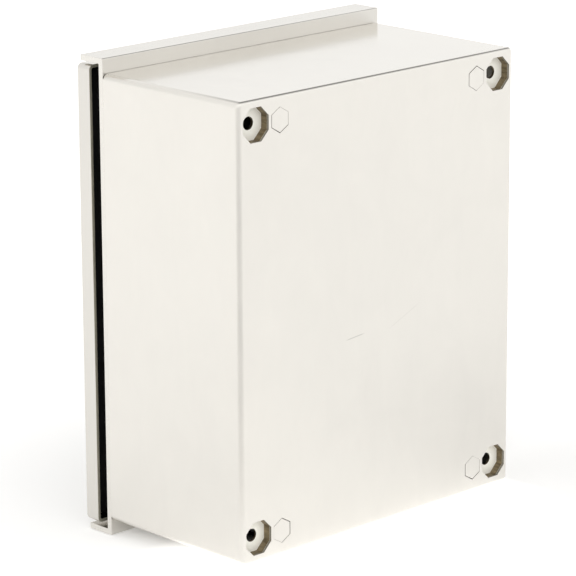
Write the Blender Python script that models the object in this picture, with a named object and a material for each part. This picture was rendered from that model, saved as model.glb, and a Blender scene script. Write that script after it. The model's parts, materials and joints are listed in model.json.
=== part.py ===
"""Wall-mounting stainless steel meter socket enclosure with a hinged, gasketed door.

Metres, +Z up. The origin is the centre of the rear face, which lies in the XZ plane. The door faces -Y, and
+X is to the right for someone facing the door. "Forward" is the distance in front of the rear face, so a
point at forward f lies at Y = -f. Run with: blender --background --python part.py
"""

import math

import bmesh
import bpy
from mathutils import Matrix, Vector

# ---------------------------------------------------------------- driving dimensions
GAP = 0.0003  # clearance between pieces that touch

# Body: one folded sheet box, open at the front
BODY_WIDTH = 0.250
BODY_HEIGHT = 0.300
BODY_DEPTH = 0.1249
BODY_SHEET = 0.0015
BODY_CORNER = 0.0040  # radius of the four edges that run front to back
BODY_BEND = 0.0034  # radius of the edges around the rear face

# Front frame: a plate with rain lips folded forward above and below, and a raised sealing edge
FRAME_REAR = BODY_DEPTH + GAP
FRAME_SHEET = 0.0038
FRAME_FRONT = FRAME_REAR + FRAME_SHEET
FRAME_HEIGHT = 0.320
FRAME_BEND = 0.0016
LIP_TIP = 0.1466
OPENING_WIDTH = 0.218
OPENING_HEIGHT = 0.278
OPENING_CORNER = 0.006
SEAL_EDGE = 0.0020  # thickness of the raised edge
SEAL_EDGE_TIP = 0.1420

# Door pan
DOOR_LOW = -0.1546
DOOR_HIGH = 0.1540
DOOR_REAR = 0.1382
DOOR_FACE = 0.1510
DOOR_SHEET = 0.0022
DOOR_CORNER = 0.0035
DOOR_BEND = 0.0024
DOOR_SKIN = DOOR_FACE - DOOR_SHEET
GASKET_INSET = 0.0025  # from the outside of the door to the gasket
GASKET_WIDTH = 0.0150

# Rear corner features
CUP_X = 0.1100
CUP_UP = 0.1340
CUP_FLATS = 0.0220
CUP_WALL = 0.0010
CUP_FLOOR = 0.0020
CUP_DEPTH = 0.0090
WALL_BOLT_HOLE = 0.00425  # radius, for an 8 mm wall bolt
STANDOFF_X = 0.0894
STANDOFF_UP = CUP_UP
STANDOFF_FLATS = 0.0139
STANDOFF_HOLE_FLATS = STANDOFF_FLATS + 2 * GAP
STANDOFF_COLLAR = 0.0080
STANDOFF_RADIUS = 0.0050
STANDOFF_TOP = 0.0135
STANDOFF_BORE = 0.0026

# Mounting plate
PLATE_REAR = STANDOFF_TOP + GAP
PLATE_SHEET = 0.0020
PLATE_FACE = PLATE_REAR + PLATE_SHEET
PLATE_WIDTH = 0.232
PLATE_HEIGHT = 0.284
PLATE_NOTCH_X = 0.0960
PLATE_NOTCH_UP = 0.1180
PLATE_HOLE = 0.0033

# Meter socket
SOCKET_UP = 0.0500  # height of the meter axis
SOCKET_FOOT = PLATE_FACE + GAP
BRACKET_SHEET = 0.0020
BRACKET_WIDTH = 0.100
BRACKET_FOOT = 0.022
BRACKET_TOP = 0.0620
BRACKET_HEIGHT = 0.164
JAW_X = 0.0380
JAW_PITCH_UP = 0.1050  # line jaws to load jaws
JAW_LENGTH = 0.0190
JAW_SHEET = 0.0016
JAW_REACH = 0.0340
BLOCK_WIDTH = 0.128
BLOCK_HEIGHT = 0.0450
BLOCK_REAR = BRACKET_TOP + GAP
BLOCK_SLAB = 0.0740
BLOCK_PAD = 0.0880
PAD_WIDTH = 0.0400
JAW_FOOT = BLOCK_PAD + GAP
LUG_WIDTH = 0.0220
LUG_LENGTH = 0.0200
LUG_FACE = 0.1100
LUG_WIRE_HOLE = 0.0065
LUG_WIRE_FORWARD = 0.0960
LUG_OFFSET = 0.0205  # jaw centre to lug centre
LUG_SCREW = 0.0040

# Neutral bar and earth stud, both on the mounting plate
NEUTRAL_X = -0.0940
NEUTRAL_UP = -0.0600
NEUTRAL_WIDTH = 0.0160
NEUTRAL_LENGTH = 0.0600
NEUTRAL_FACE = 0.0340
NEUTRAL_PITCH = 0.0190
NEUTRAL_HOLE = 0.0042
NEUTRAL_SCREW = 0.0032
EARTH_X = 0.0880
EARTH_UP = -0.0950
EARTH_STUD = 0.0038

# Gland plate, inside the bottom of the body
GLAND_FORWARD = 0.0650
GLAND_OPENING_X = 0.0700
GLAND_OPENING_FORWARD = 0.0300
GLAND_RIM = 0.0120
GLAND_SHEET = 0.0020
PLUG_X = 0.0340
PLUG_HOLE = 0.0123
PLUG_HEAD = 0.0160

# Hinges, outside the left edge
HINGE_X = -0.1303
HINGE_FORWARD = 0.1319
HINGE_UP = 0.1050
KNUCKLE = 0.0050
HINGE_BORE = 0.0028
HINGE_PIN = 0.0025
LEAF_HEIGHT = 0.0250
LEAF_SHEET = 0.0020
FIXED_LEAF_REAR = 0.0980
DOOR_LEAF_FRONT = 0.1502

# Meter opening in the door
DOOR_HOLE = 0.0800
COLLAR_FOOT = 0.0900
COLLAR_BORE = 0.0785
COLLAR_SHEET = 0.0015
COLLAR_RIM = 0.0850
COLLAR_REAR = DOOR_FACE + GAP
COLLAR_FRONT = 0.1600
RIM_GASKET_FRONT = COLLAR_FRONT + GAP + 0.0010
DISC_REAR = RIM_GASKET_FRONT + GAP
DISC_SHEET = 0.0025
DISC_FRONT = DISC_REAR + DISC_SHEET
RING_INNER = 0.0810
RING_CHANNEL = COLLAR_RIM + GAP
RING_OUTER = 0.0873
RING_SHEET = 0.0015
RING_SLIT = 0.0060
RING_EAR = 0.0100

# Lock
LOCK_X = 0.0880
LOCK_UP = -0.0150
LOCK_FLANGE = 0.0135
LOCK_BODY = 0.0110
LOCK_BORE = 0.0063
LOCK_FRONT = 0.1548
LOCK_REAR = 0.1270
LOCK_NUT_FLATS = 0.0270
LOCK_NUT_REAR = 0.1427
INSERT_RADIUS = 0.0060
INSERT_STUB = 0.0037
CAM_REAR = 0.1214
CAM_FRONT = 0.1244
CAM_REACH = 0.0300
CAM_WIDTH = 0.0160
CAM_NUT_REAR = 0.1170

ROUND = 24  # segments of a round piece
SMALL_ROUND = 16  # segments of a screw or another small round piece
WIDE_ROUND = 48  # segments of the meter opening's rings
CORNERS = (("left", -1), ("right", 1))
ROWS = (("upper", 1), ("lower", -1))


# ---------------------------------------------------------------- coordinates and outlines
def seen_from_front(right, up, forward):
    return (right, -forward, up)


def seen_from_side(forward, up, right):
    return (right, -forward, up)


def seen_from_above(right, forward, up):
    return (right, -forward, up)


def arc(centre_u, centre_v, radius, start, end, steps=4):
    """Points along an arc; start and end are in degrees."""
    angles = [math.radians(start + (end - start) * i / steps) for i in range(steps + 1)]
    return [(centre_u + radius * math.cos(a), centre_v + radius * math.sin(a)) for a in angles]


def rectangle(left, right, low, high):
    return [(left, low), (right, low), (right, high), (left, high)]


def rounded_rectangle(left, right, low, high, radius, steps=4):
    return [
        *arc(right - radius, low + radius, radius, -90, 0, steps),
        *arc(right - radius, high - radius, radius, 0, 90, steps),
        *arc(left + radius, high - radius, radius, 90, 180, steps),
        *arc(left + radius, low + radius, radius, 180, 270, steps),
    ]


def polygon(sides, across_flats, turn=0.0):
    """A regular polygon about the origin, its first corner at this angle in degrees."""
    radius = across_flats / 2 / math.cos(math.pi / sides)
    return arc(0, 0, radius, turn, turn + 360, sides)[:-1]


def circle(radius, segments=ROUND):
    return arc(0, 0, radius, 0, 360, segments)[:-1]


def moved(outline, along_u, along_v):
    return [(u + along_u, v + along_v) for u, v in outline]


def left_normal(direction):
    return Vector((-direction.y, direction.x))


def bent_strip(path, thickness, radius, steps=4):
    """Outline of a strip folded along a path, with a round bend of this mid-line radius at each inner point."""
    points = [Vector(point) for point in path]
    line = [(points[0], (points[1] - points[0]).normalized())]
    for before, corner, after in zip(points, points[1:], points[2:]):
        incoming = (corner - before).normalized()
        outgoing = (after - corner).normalized()
        turn = math.atan2(incoming.cross(outgoing), incoming.dot(outgoing))
        side = math.copysign(radius, turn)
        start = corner - incoming * radius * math.tan(abs(turn) / 2)
        centre = start + left_normal(incoming) * side
        for step in range(steps + 1):
            direction = Matrix.Rotation(turn * step / steps, 2) @ incoming
            line.append((centre - left_normal(direction) * side, direction))
    line.append((points[-1], (points[-1] - points[-2]).normalized()))
    half = thickness / 2
    one_side = [tuple(point + left_normal(way) * half) for point, way in line]
    other_side = [tuple(point - left_normal(way) * half) for point, way in line]
    return one_side + other_side[::-1]


# ---------------------------------------------------------------- meshes
def prism(mesh, outline, start, end, view):
    """A closed solid: the outline, as seen in this view, between two distances along the view."""
    near = [mesh.verts.new(view(u, v, start)) for u, v in outline]
    far = [mesh.verts.new(view(u, v, end)) for u, v in outline]
    mesh.faces.new(near[::-1])
    mesh.faces.new(far)
    for i in range(len(outline)):
        j = (i + 1) % len(outline)
        mesh.faces.new((near[i], near[j], far[j], far[i]))


def ring_prism(mesh, outer, inner, start, end, view):
    """A closed frame between an outer and an inner outline that have as many points."""
    loops = [[mesh.verts.new(view(u, v, w)) for u, v in line] for line in (outer, inner) for w in (start, end)]
    outer_near, outer_far, inner_near, inner_far = loops
    bands = ((outer_near, outer_far), (outer_far, inner_far), (inner_far, inner_near), (inner_near, outer_near))
    for i in range(len(outer)):
        j = (i + 1) % len(outer)
        for one, other in bands:
            mesh.faces.new((one[i], one[j], other[j], other[i]))


def turned(mesh, profile, view, segments=ROUND, closed=False):
    """Turns (radius, distance) points about the view's axis. A closed profile is the section of a ring."""
    rings = []
    for radius, distance in profile:
        outline = circle(radius, segments) if radius else [(0, 0)]
        rings.append([mesh.verts.new(view(u, v, distance)) for u, v in outline])
    pairs = list(zip(rings, rings[1:]))
    if closed:
        pairs.append((rings[-1], rings[0]))
    for one, other in pairs:
        for i in range(segments):
            j = (i + 1) % segments
            corners = (one[i % len(one)], one[j % len(one)], other[j % len(other)], other[i % len(other)])
            mesh.faces.new(list(dict.fromkeys(corners)))


def make(name, mesh, right=0.0, forward=0.0, up=0.0):
    """Turns a bmesh into an object, its own origin at the given place."""
    bmesh.ops.recalc_face_normals(mesh, faces=mesh.faces)
    data = bpy.data.meshes.new(name)
    mesh.to_mesh(data)
    mesh.free()
    piece = bpy.data.objects.new(name, data)
    bpy.context.scene.collection.objects.link(piece)
    piece.location = (right, -forward, up)
    return piece


def combine(piece, mesh, operation):
    """Cuts (DIFFERENCE) or joins (UNION) a shape that is drawn in the piece's own coordinates."""
    helper = make(f"{piece.name}_helper_{len(piece.modifiers)}", mesh)
    helper.parent = piece
    helper.hide_render = True
    helper.display_type = "WIRE"
    boolean = piece.modifiers.new(operation.title(), "BOOLEAN")
    boolean.operation = operation
    boolean.solver = "EXACT"
    boolean.object = helper


def smooth(piece):
    piece.data.shade_smooth()
    piece.data.set_sharp_from_angle(angle=math.radians(35))


def hang_on(piece, pivot):
    """Parents a piece to a pivot without moving it."""
    piece.parent = pivot
    piece.matrix_parent_inverse = pivot.matrix_basis.inverted()


def pivot_at(name, right, forward, up, parent=None):
    pivot = bpy.data.objects.new(name, None)
    bpy.context.scene.collection.objects.link(pivot)
    pivot.location = (right, -forward, up)
    if parent:
        hang_on(pivot, parent)
    return pivot


# ---------------------------------------------------------------- materials
def finish(piece, colour, roughness, metallic=0.0, transmission=0.0):
    material = bpy.data.materials.new(f"{piece.name}_finish")
    material.use_nodes = True
    shader = material.node_tree.nodes["Principled BSDF"]
    shader.inputs["Base Color"].default_value = (*colour, 1.0)
    shader.inputs["Roughness"].default_value = roughness
    shader.inputs["Metallic"].default_value = metallic
    shader.inputs["Transmission Weight"].default_value = transmission
    piece.data.materials.append(material)


def stainless_steel(piece):
    finish(piece, (0.80, 0.78, 0.73), 0.38, metallic=1.0)


def zinc_plated_steel(piece):
    finish(piece, (0.62, 0.63, 0.62), 0.35, metallic=1.0)


def tinned_copper(piece):
    finish(piece, (0.78, 0.76, 0.72), 0.30, metallic=1.0)


def aluminium(piece):
    finish(piece, (0.77, 0.78, 0.79), 0.42, metallic=1.0)


def brass(piece):
    finish(piece, (0.80, 0.62, 0.30), 0.32, metallic=1.0)


def black_rubber(piece):
    finish(piece, (0.012, 0.012, 0.013), 0.85)


def moulded_insulator(piece):
    finish(piece, (0.055, 0.045, 0.040), 0.55)


def grey_plastic(piece):
    finish(piece, (0.36, 0.37, 0.38), 0.50)


def clear_plastic(piece):
    finish(piece, (0.93, 0.95, 0.95), 0.06, transmission=0.9)


# ---------------------------------------------------------------- folded boxes
def folded_box(name, box, floor, rim, corner_radius, bend_radius, sheet):
    """A sheet pan with rounded corners: its floor at one forward distance, its open rim at the other."""
    mesh = bmesh.new()
    prism(mesh, rectangle(*box), floor, rim, seen_from_front)
    along = [edge for edge in mesh.edges if abs(edge.verts[0].co.y - edge.verts[1].co.y) > sheet]
    bmesh.ops.bevel(mesh, geom=along, offset=corner_radius, segments=5, profile=0.5, affect="EDGES")
    around = [edge for edge in mesh.edges if all(abs(vert.co.y + floor) < 1e-6 for vert in edge.verts)]
    bmesh.ops.bevel(mesh, geom=around, offset=bend_radius, segments=4, profile=0.5, affect="EDGES")
    bmesh.ops.recalc_face_normals(mesh, faces=mesh.faces)
    mouth = [face for face in mesh.faces if all(abs(vert.co.y + rim) < 1e-6 for vert in face.verts)]
    bmesh.ops.delete(mesh, geom=mouth, context="FACES_ONLY")
    data = bpy.data.meshes.new(name)
    mesh.to_mesh(data)
    mesh.free()
    piece = bpy.data.objects.new(name, data)
    bpy.context.scene.collection.objects.link(piece)
    wall = piece.modifiers.new("Sheet", "SOLIDIFY")
    wall.thickness = sheet
    wall.offset = -1.0
    wall.use_even_offset = True
    smooth(piece)
    stainless_steel(piece)
    return piece


def body_shell():
    half_width = BODY_WIDTH / 2
    half_height = BODY_HEIGHT / 2
    box = (-half_width, half_width, -half_height, half_height)
    shell = folded_box("body_shell", box, 0.0, BODY_DEPTH, BODY_CORNER, BODY_BEND, BODY_SHEET)
    through = (-BODY_SHEET, 2 * BODY_SHEET)
    openings = bmesh.new()
    for _, side in CORNERS:
        for _, row in ROWS:
            octagon = polygon(8, CUP_FLATS, 22.5)
            hexagon = polygon(6, STANDOFF_HOLE_FLATS, 90)
            prism(openings, moved(octagon, side * CUP_X, row * CUP_UP), *through, seen_from_front)
            prism(openings, moved(hexagon, side * STANDOFF_X, row * STANDOFF_UP), *through, seen_from_front)
    entry = rounded_rectangle(
        -GLAND_OPENING_X,
        GLAND_OPENING_X,
        GLAND_FORWARD - GLAND_OPENING_FORWARD,
        GLAND_FORWARD + GLAND_OPENING_FORWARD,
        0.005,
    )
    prism(openings, entry, -half_height - BODY_SHEET, -half_height + 2 * BODY_SHEET, seen_from_above)
    combine(shell, openings, "DIFFERENCE")


def frame_section():
    """C section, as (forward, up): a flat plate whose top and bottom fold forward into rain lips."""
    top = FRAME_HEIGHT / 2
    under = top - FRAME_SHEET
    inner_bend = 0.0006
    behind = FRAME_REAR + FRAME_BEND
    before = FRAME_FRONT + inner_bend
    return [
        (LIP_TIP, top),
        *arc(behind, top - FRAME_BEND, FRAME_BEND, 90, 180),
        *arc(behind, FRAME_BEND - top, FRAME_BEND, 180, 270),
        (LIP_TIP, -top),
        (LIP_TIP, -under),
        *arc(before, inner_bend - under, inner_bend, 270, 180, 2),
        *arc(before, under - inner_bend, inner_bend, 180, 90, 2),
        (LIP_TIP, under),
    ]


def front_frame():
    mesh = bmesh.new()
    prism(mesh, frame_section(), -BODY_WIDTH / 2, BODY_WIDTH / 2, seen_from_side)
    frame = make("front_frame", mesh)
    half_width = OPENING_WIDTH / 2
    half_height = OPENING_HEIGHT / 2
    inner = rounded_rectangle(-half_width, half_width, -half_height, half_height, OPENING_CORNER)
    outer = rounded_rectangle(
        -half_width - SEAL_EDGE,
        half_width + SEAL_EDGE,
        -half_height - SEAL_EDGE,
        half_height + SEAL_EDGE,
        OPENING_CORNER + SEAL_EDGE,
    )
    opening = bmesh.new()
    prism(opening, inner, FRAME_REAR - SEAL_EDGE, FRAME_FRONT + SEAL_EDGE, seen_from_front)
    combine(frame, opening, "DIFFERENCE")
    edge = bmesh.new()
    ring_prism(edge, outer, inner, FRAME_REAR + FRAME_SHEET / 2, SEAL_EDGE_TIP, seen_from_front)
    combine(frame, edge, "UNION")
    stainless_steel(frame)


# ---------------------------------------------------------------- rear corner pieces
def wall_cup(name, right, up):
    """An octagonal cup behind the rear sheet, with the wall bolt's hole in its floor."""
    mouth = BODY_SHEET + GAP
    floor = CUP_DEPTH - CUP_FLOOR
    mesh = bmesh.new()
    prism(mesh, polygon(8, CUP_FLATS + 2 * CUP_WALL, 22.5), mouth, CUP_DEPTH, seen_from_front)
    cup = make(name, mesh, right, 0.0, up)
    hollow = bmesh.new()
    prism(hollow, polygon(8, CUP_FLATS, 22.5), mouth - CUP_FLOOR, floor, seen_from_front)
    combine(cup, hollow, "DIFFERENCE")
    hole = bmesh.new()
    prism(hole, circle(WALL_BOLT_HOLE), floor - CUP_FLOOR, CUP_DEPTH + CUP_FLOOR, seen_from_front)
    combine(cup, hole, "DIFFERENCE")
    stainless_steel(cup)


def plate_standoff(name, right, up):
    """A blind threaded standoff: hexagon head flush in the rear sheet, collar and barrel inside."""
    collar_rear = BODY_SHEET + GAP
    collar_front = collar_rear + 0.0012
    bore_end = 0.0050
    mesh = bmesh.new()
    profile = [
        (0, collar_rear),
        (STANDOFF_COLLAR, collar_rear),
        (STANDOFF_COLLAR, collar_front),
        (STANDOFF_RADIUS, collar_front),
        (STANDOFF_RADIUS, STANDOFF_TOP),
        (STANDOFF_BORE, STANDOFF_TOP),
        (STANDOFF_BORE, bore_end),
        (0, bore_end),
    ]
    turned(mesh, profile, seen_from_front, SMALL_ROUND)
    standoff = make(name, mesh, right, 0.0, up)
    head = bmesh.new()
    prism(head, polygon(6, STANDOFF_FLATS, 90), 0.0001, collar_rear + 0.0005, seen_from_front)
    combine(standoff, head, "UNION")
    smooth(standoff)
    stainless_steel(standoff)


def notched_plate():
    """The mounting plate's outline, with its corners cut back from the wall cups."""
    half_width = PLATE_WIDTH / 2
    half_height = PLATE_HEIGHT / 2
    quarter = [(half_width, PLATE_NOTCH_UP), (PLATE_NOTCH_X, PLATE_NOTCH_UP), (PLATE_NOTCH_X, half_height)]
    upper = quarter + [(-u, v) for u, v in quarter[::-1]]
    return upper + [(-u, -v) for u, v in upper]


def mounting_plate():
    mesh = bmesh.new()
    prism(mesh, notched_plate(), 0.0, PLATE_SHEET, seen_from_front)
    plate = make("mounting_plate", mesh, 0.0, PLATE_REAR, 0.0)
    holes = bmesh.new()
    for _, side in CORNERS:
        for _, row in ROWS:
            hole = moved(circle(PLATE_HOLE, SMALL_ROUND), side * STANDOFF_X, row * STANDOFF_UP)
            prism(holes, hole, -PLATE_SHEET, 2 * PLATE_SHEET, seen_from_front)
    combine(plate, holes, "DIFFERENCE")
    zinc_plated_steel(plate)


def plate_screw(name, right, up):
    """A flanged socket screw through the plate into a standoff."""
    under_head = PLATE_FACE + GAP
    profile = [
        (0, 0.0080),
        (STANDOFF_BORE - GAP, 0.0080),
        (STANDOFF_BORE - GAP, under_head),
        (0.0060, under_head),
        (0.0060, under_head + 0.0012),
        (0.0047, under_head + 0.0040),
        (0.0020, under_head + 0.0040),
        (0.0020, under_head + 0.0018),
        (0, under_head + 0.0018),
    ]
    mesh = bmesh.new()
    turned(mesh, profile, seen_from_front, SMALL_ROUND)
    screw = make(name, mesh, right, 0.0, up)
    smooth(screw)
    zinc_plated_steel(screw)


# ---------------------------------------------------------------- meter socket
def socket_bracket():
    """Hat section that carries the jaw blocks, its feet on the mounting plate."""
    half_sheet = BRACKET_SHEET / 2
    web = BRACKET_WIDTH / 2 - half_sheet
    foot = web + BRACKET_FOOT
    low = SOCKET_FOOT + half_sheet
    high = BRACKET_TOP - half_sheet
    path = [(-foot, low), (-web, low), (-web, high), (web, high), (web, low), (foot, low)]
    mesh = bmesh.new()
    half_height = BRACKET_HEIGHT / 2
    prism(mesh, bent_strip(path, BRACKET_SHEET, 0.0025), -half_height, half_height, seen_from_above)
    zinc_plated_steel(make("socket_bracket", mesh, 0.0, 0.0, SOCKET_UP))


def jaw_block(name, up):
    """Moulded insulator: a slab with a raised pad under each jaw."""
    slab = BLOCK_WIDTH / 2
    outer = JAW_X + PAD_WIDTH / 2
    inner = JAW_X - PAD_WIDTH / 2
    right_half = [
        (inner, BLOCK_SLAB),
        (inner, BLOCK_PAD),
        (outer, BLOCK_PAD),
        (outer, BLOCK_SLAB),
        (slab, BLOCK_SLAB),
        (slab, BLOCK_REAR),
    ]
    left_half = [(-u, v) for u, v in right_half[::-1]]
    mesh = bmesh.new()
    half_height = BLOCK_HEIGHT / 2
    prism(mesh, right_half + left_half, -half_height, half_height, seen_from_above)
    moulded_insulator(make(name, mesh, 0.0, 0.0, up))


def meter_jaw(name, right, up):
    """A sprung jaw: a strip bent to a U that pinches the meter's blade and flares at its mouth."""
    foot = 0.0070
    pinch = 0.0021
    flare = 0.0055
    low = JAW_SHEET / 2
    right_half = [(foot, low), (foot, 0.0090), (pinch, 0.0270), (flare, JAW_REACH)]
    path = [(-u, v) for u, v in right_half[::-1]] + right_half
    mesh = bmesh.new()
    prism(mesh, bent_strip(path, JAW_SHEET, 0.0020, 3), -JAW_LENGTH / 2, JAW_LENGTH / 2, seen_from_above)
    tinned_copper(make(name, mesh, right, JAW_FOOT, up))


def wire_lug(name, right, up):
    """An aluminium lug with a vertical wire hole and a clamping screw's hole from the front."""
    depth = LUG_FACE - JAW_FOOT
    wire = LUG_WIRE_FORWARD - JAW_FOOT
    half_length = LUG_LENGTH / 2
    mesh = bmesh.new()
    outline = rounded_rectangle(-LUG_WIDTH / 2, LUG_WIDTH / 2, 0.0, depth, 0.0015, 2)
    prism(mesh, outline, -half_length, half_length, seen_from_above)
    lug = make(name, mesh, right, JAW_FOOT, up)
    wire_hole = bmesh.new()
    prism(wire_hole, moved(circle(LUG_WIRE_HOLE), 0.0, wire), -LUG_LENGTH, LUG_LENGTH, seen_from_above)
    combine(lug, wire_hole, "DIFFERENCE")
    screw_hole = bmesh.new()
    prism(screw_hole, circle(LUG_SCREW + GAP, SMALL_ROUND), wire, 2 * depth, seen_from_front)
    combine(lug, screw_hole, "DIFFERENCE")
    aluminium(lug)


def set_screw(name, radius, right, rear, front, up, material):
    """A headless clamping screw with a round socket in its face."""
    socket = radius * 0.5
    depth = radius * 0.8
    length = front - rear
    profile = [(0, 0), (radius, 0), (radius, length), (socket, length), (socket, length - depth), (0, length - depth)]
    mesh = bmesh.new()
    turned(mesh, profile, seen_from_front, SMALL_ROUND)
    screw = make(name, mesh, right, rear, up)
    smooth(screw)
    material(screw)


def neutral_bar():
    half_length = NEUTRAL_LENGTH / 2
    depth = NEUTRAL_FACE - SOCKET_FOOT
    wire = depth * 0.42
    mesh = bmesh.new()
    outline = rounded_rectangle(-NEUTRAL_WIDTH / 2, NEUTRAL_WIDTH / 2, 0.0, depth, 0.0010, 2)
    prism(mesh, outline, -half_length, half_length, seen_from_above)
    bar = make("neutral_bar", mesh, NEUTRAL_X, SOCKET_FOOT, NEUTRAL_UP)
    wire_holes = bmesh.new()
    screw_holes = bmesh.new()
    for place in (-1, 0, 1):
        wire_hole = moved(circle(NEUTRAL_HOLE, SMALL_ROUND), wire, place * NEUTRAL_PITCH)
        screw_hole = moved(circle(NEUTRAL_SCREW + GAP, SMALL_ROUND), 0.0, place * NEUTRAL_PITCH)
        prism(wire_holes, wire_hole, -NEUTRAL_WIDTH, NEUTRAL_WIDTH, seen_from_side)
        prism(screw_holes, screw_hole, wire, 2 * depth, seen_from_front)
    combine(bar, wire_holes, "DIFFERENCE")
    combine(bar, screw_holes, "DIFFERENCE")
    brass(bar)
    for number, place in enumerate((1, 0, -1), start=1):
        up = NEUTRAL_UP + place * NEUTRAL_PITCH
        rear = SOCKET_FOOT + wire + NEUTRAL_HOLE - 0.0010
        set_screw(f"neutral_screw_{number}", NEUTRAL_SCREW, NEUTRAL_X, rear, NEUTRAL_FACE + 0.0025, up, brass)


def meter_socket():
    socket_bracket()
    for row_name, row in (("line", 1), ("load", -1)):
        jaw_up = SOCKET_UP + row * JAW_PITCH_UP / 2
        lug_up = jaw_up + row * LUG_OFFSET
        jaw_block(f"jaw_block_{row_name}", jaw_up + row * LUG_OFFSET / 2)
        for side_name, side in CORNERS:
            meter_jaw(f"meter_jaw_{row_name}_{side_name}", side * JAW_X, jaw_up)
            wire_lug(f"wire_lug_{row_name}_{side_name}", side * JAW_X, lug_up)
            rear = LUG_WIRE_FORWARD + LUG_WIRE_HOLE - 0.0020
            name = f"lug_screw_{row_name}_{side_name}"
            set_screw(name, LUG_SCREW, side * JAW_X, rear, LUG_FACE + 0.0030, lug_up, zinc_plated_steel)


def earth_point():
    """A threaded stud on the mounting plate with its washer and nut."""
    foot = PLATE_FACE + GAP
    washer_front = foot + GAP + 0.0016
    nut_rear = washer_front + GAP
    stud = bmesh.new()
    profile = [(0, 0), (EARTH_STUD, 0), (EARTH_STUD, 0.0190), (EARTH_STUD - 0.0008, 0.0200), (0, 0.0200)]
    turned(stud, profile, seen_from_front, SMALL_ROUND)
    piece = make("earth_stud", stud, EARTH_X, foot, EARTH_UP)
    smooth(piece)
    stainless_steel(piece)
    washer = bmesh.new()
    bore = EARTH_STUD + GAP
    section = [(bore, foot + GAP), (0.0080, foot + GAP), (0.0080, washer_front), (bore, washer_front)]
    turned(washer, section, seen_from_front, SMALL_ROUND, closed=True)
    stainless_steel(make("earth_washer", washer, EARTH_X, 0.0, EARTH_UP))
    nut = bmesh.new()
    prism(nut, polygon(6, 0.0130, 90), nut_rear, nut_rear + 0.0065, seen_from_front)
    piece = make("earth_nut", nut, EARTH_X, 0.0, EARTH_UP)
    hole = bmesh.new()
    prism(hole, circle(bore, SMALL_ROUND), 0.0, 2 * nut_rear, seen_from_front)
    combine(piece, hole, "DIFFERENCE")
    stainless_steel(piece)


# ---------------------------------------------------------------- gland plate
def gland_outline(margin, radius):
    """The bottom opening's outline as (right, forward), grown by a margin."""
    half_width = GLAND_OPENING_X + margin
    half_forward = GLAND_OPENING_FORWARD + margin
    return rounded_rectangle(-half_width, half_width, -half_forward, half_forward, radius)


def gland_plate():
    floor = -BODY_HEIGHT / 2 + BODY_SHEET
    gasket_low = floor + GAP
    gasket_high = gasket_low + 0.0020
    plate_low = gasket_high + GAP
    gasket = bmesh.new()
    ring = (gland_outline(GLAND_RIM, 0.006), gland_outline(0.001, 0.005))
    ring_prism(gasket, *ring, gasket_low, gasket_high, seen_from_above)
    black_rubber(make("gland_gasket", gasket, 0.0, GLAND_FORWARD, 0.0))
    plate = bmesh.new()
    prism(plate, gland_outline(GLAND_RIM, 0.006), plate_low, plate_low + GLAND_SHEET, seen_from_above)
    piece = make("gland_plate", plate, 0.0, GLAND_FORWARD, 0.0)
    holes = bmesh.new()
    for _, side in CORNERS:
        hole = moved(circle(PLUG_HOLE), side * PLUG_X, 0.0)
        prism(holes, hole, plate_low - GLAND_SHEET, plate_low + 2 * GLAND_SHEET, seen_from_above)
    combine(piece, holes, "DIFFERENCE")
    stainless_steel(piece)
    for side_name, side in CORNERS:
        blanking_plug(f"gland_plug_{side_name}", side * PLUG_X, plate_low - GAP)


def blanking_plug(name, right, seat):
    """A domed plug whose head closes a cable entry from below, hollow from above."""
    shank = PLUG_HOLE - GAP
    wall = 0.0015
    top = seat + 0.0100
    profile = [
        (0, seat - 0.0030),
        (PLUG_HEAD - 0.0020, seat - 0.0026),
        (PLUG_HEAD, seat - 0.0012),
        (PLUG_HEAD, seat),
        (shank, seat),
        (shank, top),
        (shank - wall, top),
        (shank - wall, seat),
        (0, seat),
    ]
    mesh = bmesh.new()
    turned(mesh, profile, seen_from_above)
    plug = make(name, mesh, right, GLAND_FORWARD, 0.0)
    smooth(plug)
    grey_plastic(plug)


# ---------------------------------------------------------------- hinges
def hinge_leaf(name, low, high, leaf_rear, leaf_front, up):
    """A leaf and its knuckle: the bore is round, and the leaf runs off the knuckle's inner side."""
    mesh = bmesh.new()
    section = [(HINGE_BORE, low), (KNUCKLE, low), (KNUCKLE, high), (HINGE_BORE, high)]
    turned(mesh, section, seen_from_above, SMALL_ROUND, closed=True)
    leaf = make(name, mesh, HINGE_X, HINGE_FORWARD, up)
    plate = bmesh.new()
    outline = rectangle(
        KNUCKLE - LEAF_SHEET,
        KNUCKLE,
        leaf_rear - HINGE_FORWARD,
        leaf_front - HINGE_FORWARD,
    )
    prism(plate, outline, low, high, seen_from_above)
    combine(leaf, plate, "UNION")
    smooth(leaf)
    stainless_steel(leaf)
    return leaf


def hinge(row_name, up, door):
    split = GAP / 2
    hinge_leaf(f"hinge_fixed_leaf_{row_name}", -LEAF_HEIGHT, -split, FIXED_LEAF_REAR, HINGE_FORWARD, up)
    name = f"hinge_door_leaf_{row_name}"
    hang_on(hinge_leaf(name, split, LEAF_HEIGHT, HINGE_FORWARD, DOOR_LEAF_FRONT, up), door)
    reach = LEAF_HEIGHT - 0.0010
    chamfer = 0.0006
    profile = [
        (0, -reach),
        (HINGE_PIN, -reach),
        (HINGE_PIN, reach - chamfer),
        (HINGE_PIN - chamfer, reach),
        (0, reach),
    ]
    mesh = bmesh.new()
    turned(mesh, profile, seen_from_above, SMALL_ROUND)
    pin = make(f"hinge_pin_{row_name}", mesh, HINGE_X, HINGE_FORWARD, up)
    smooth(pin)
    stainless_steel(pin)


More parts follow.
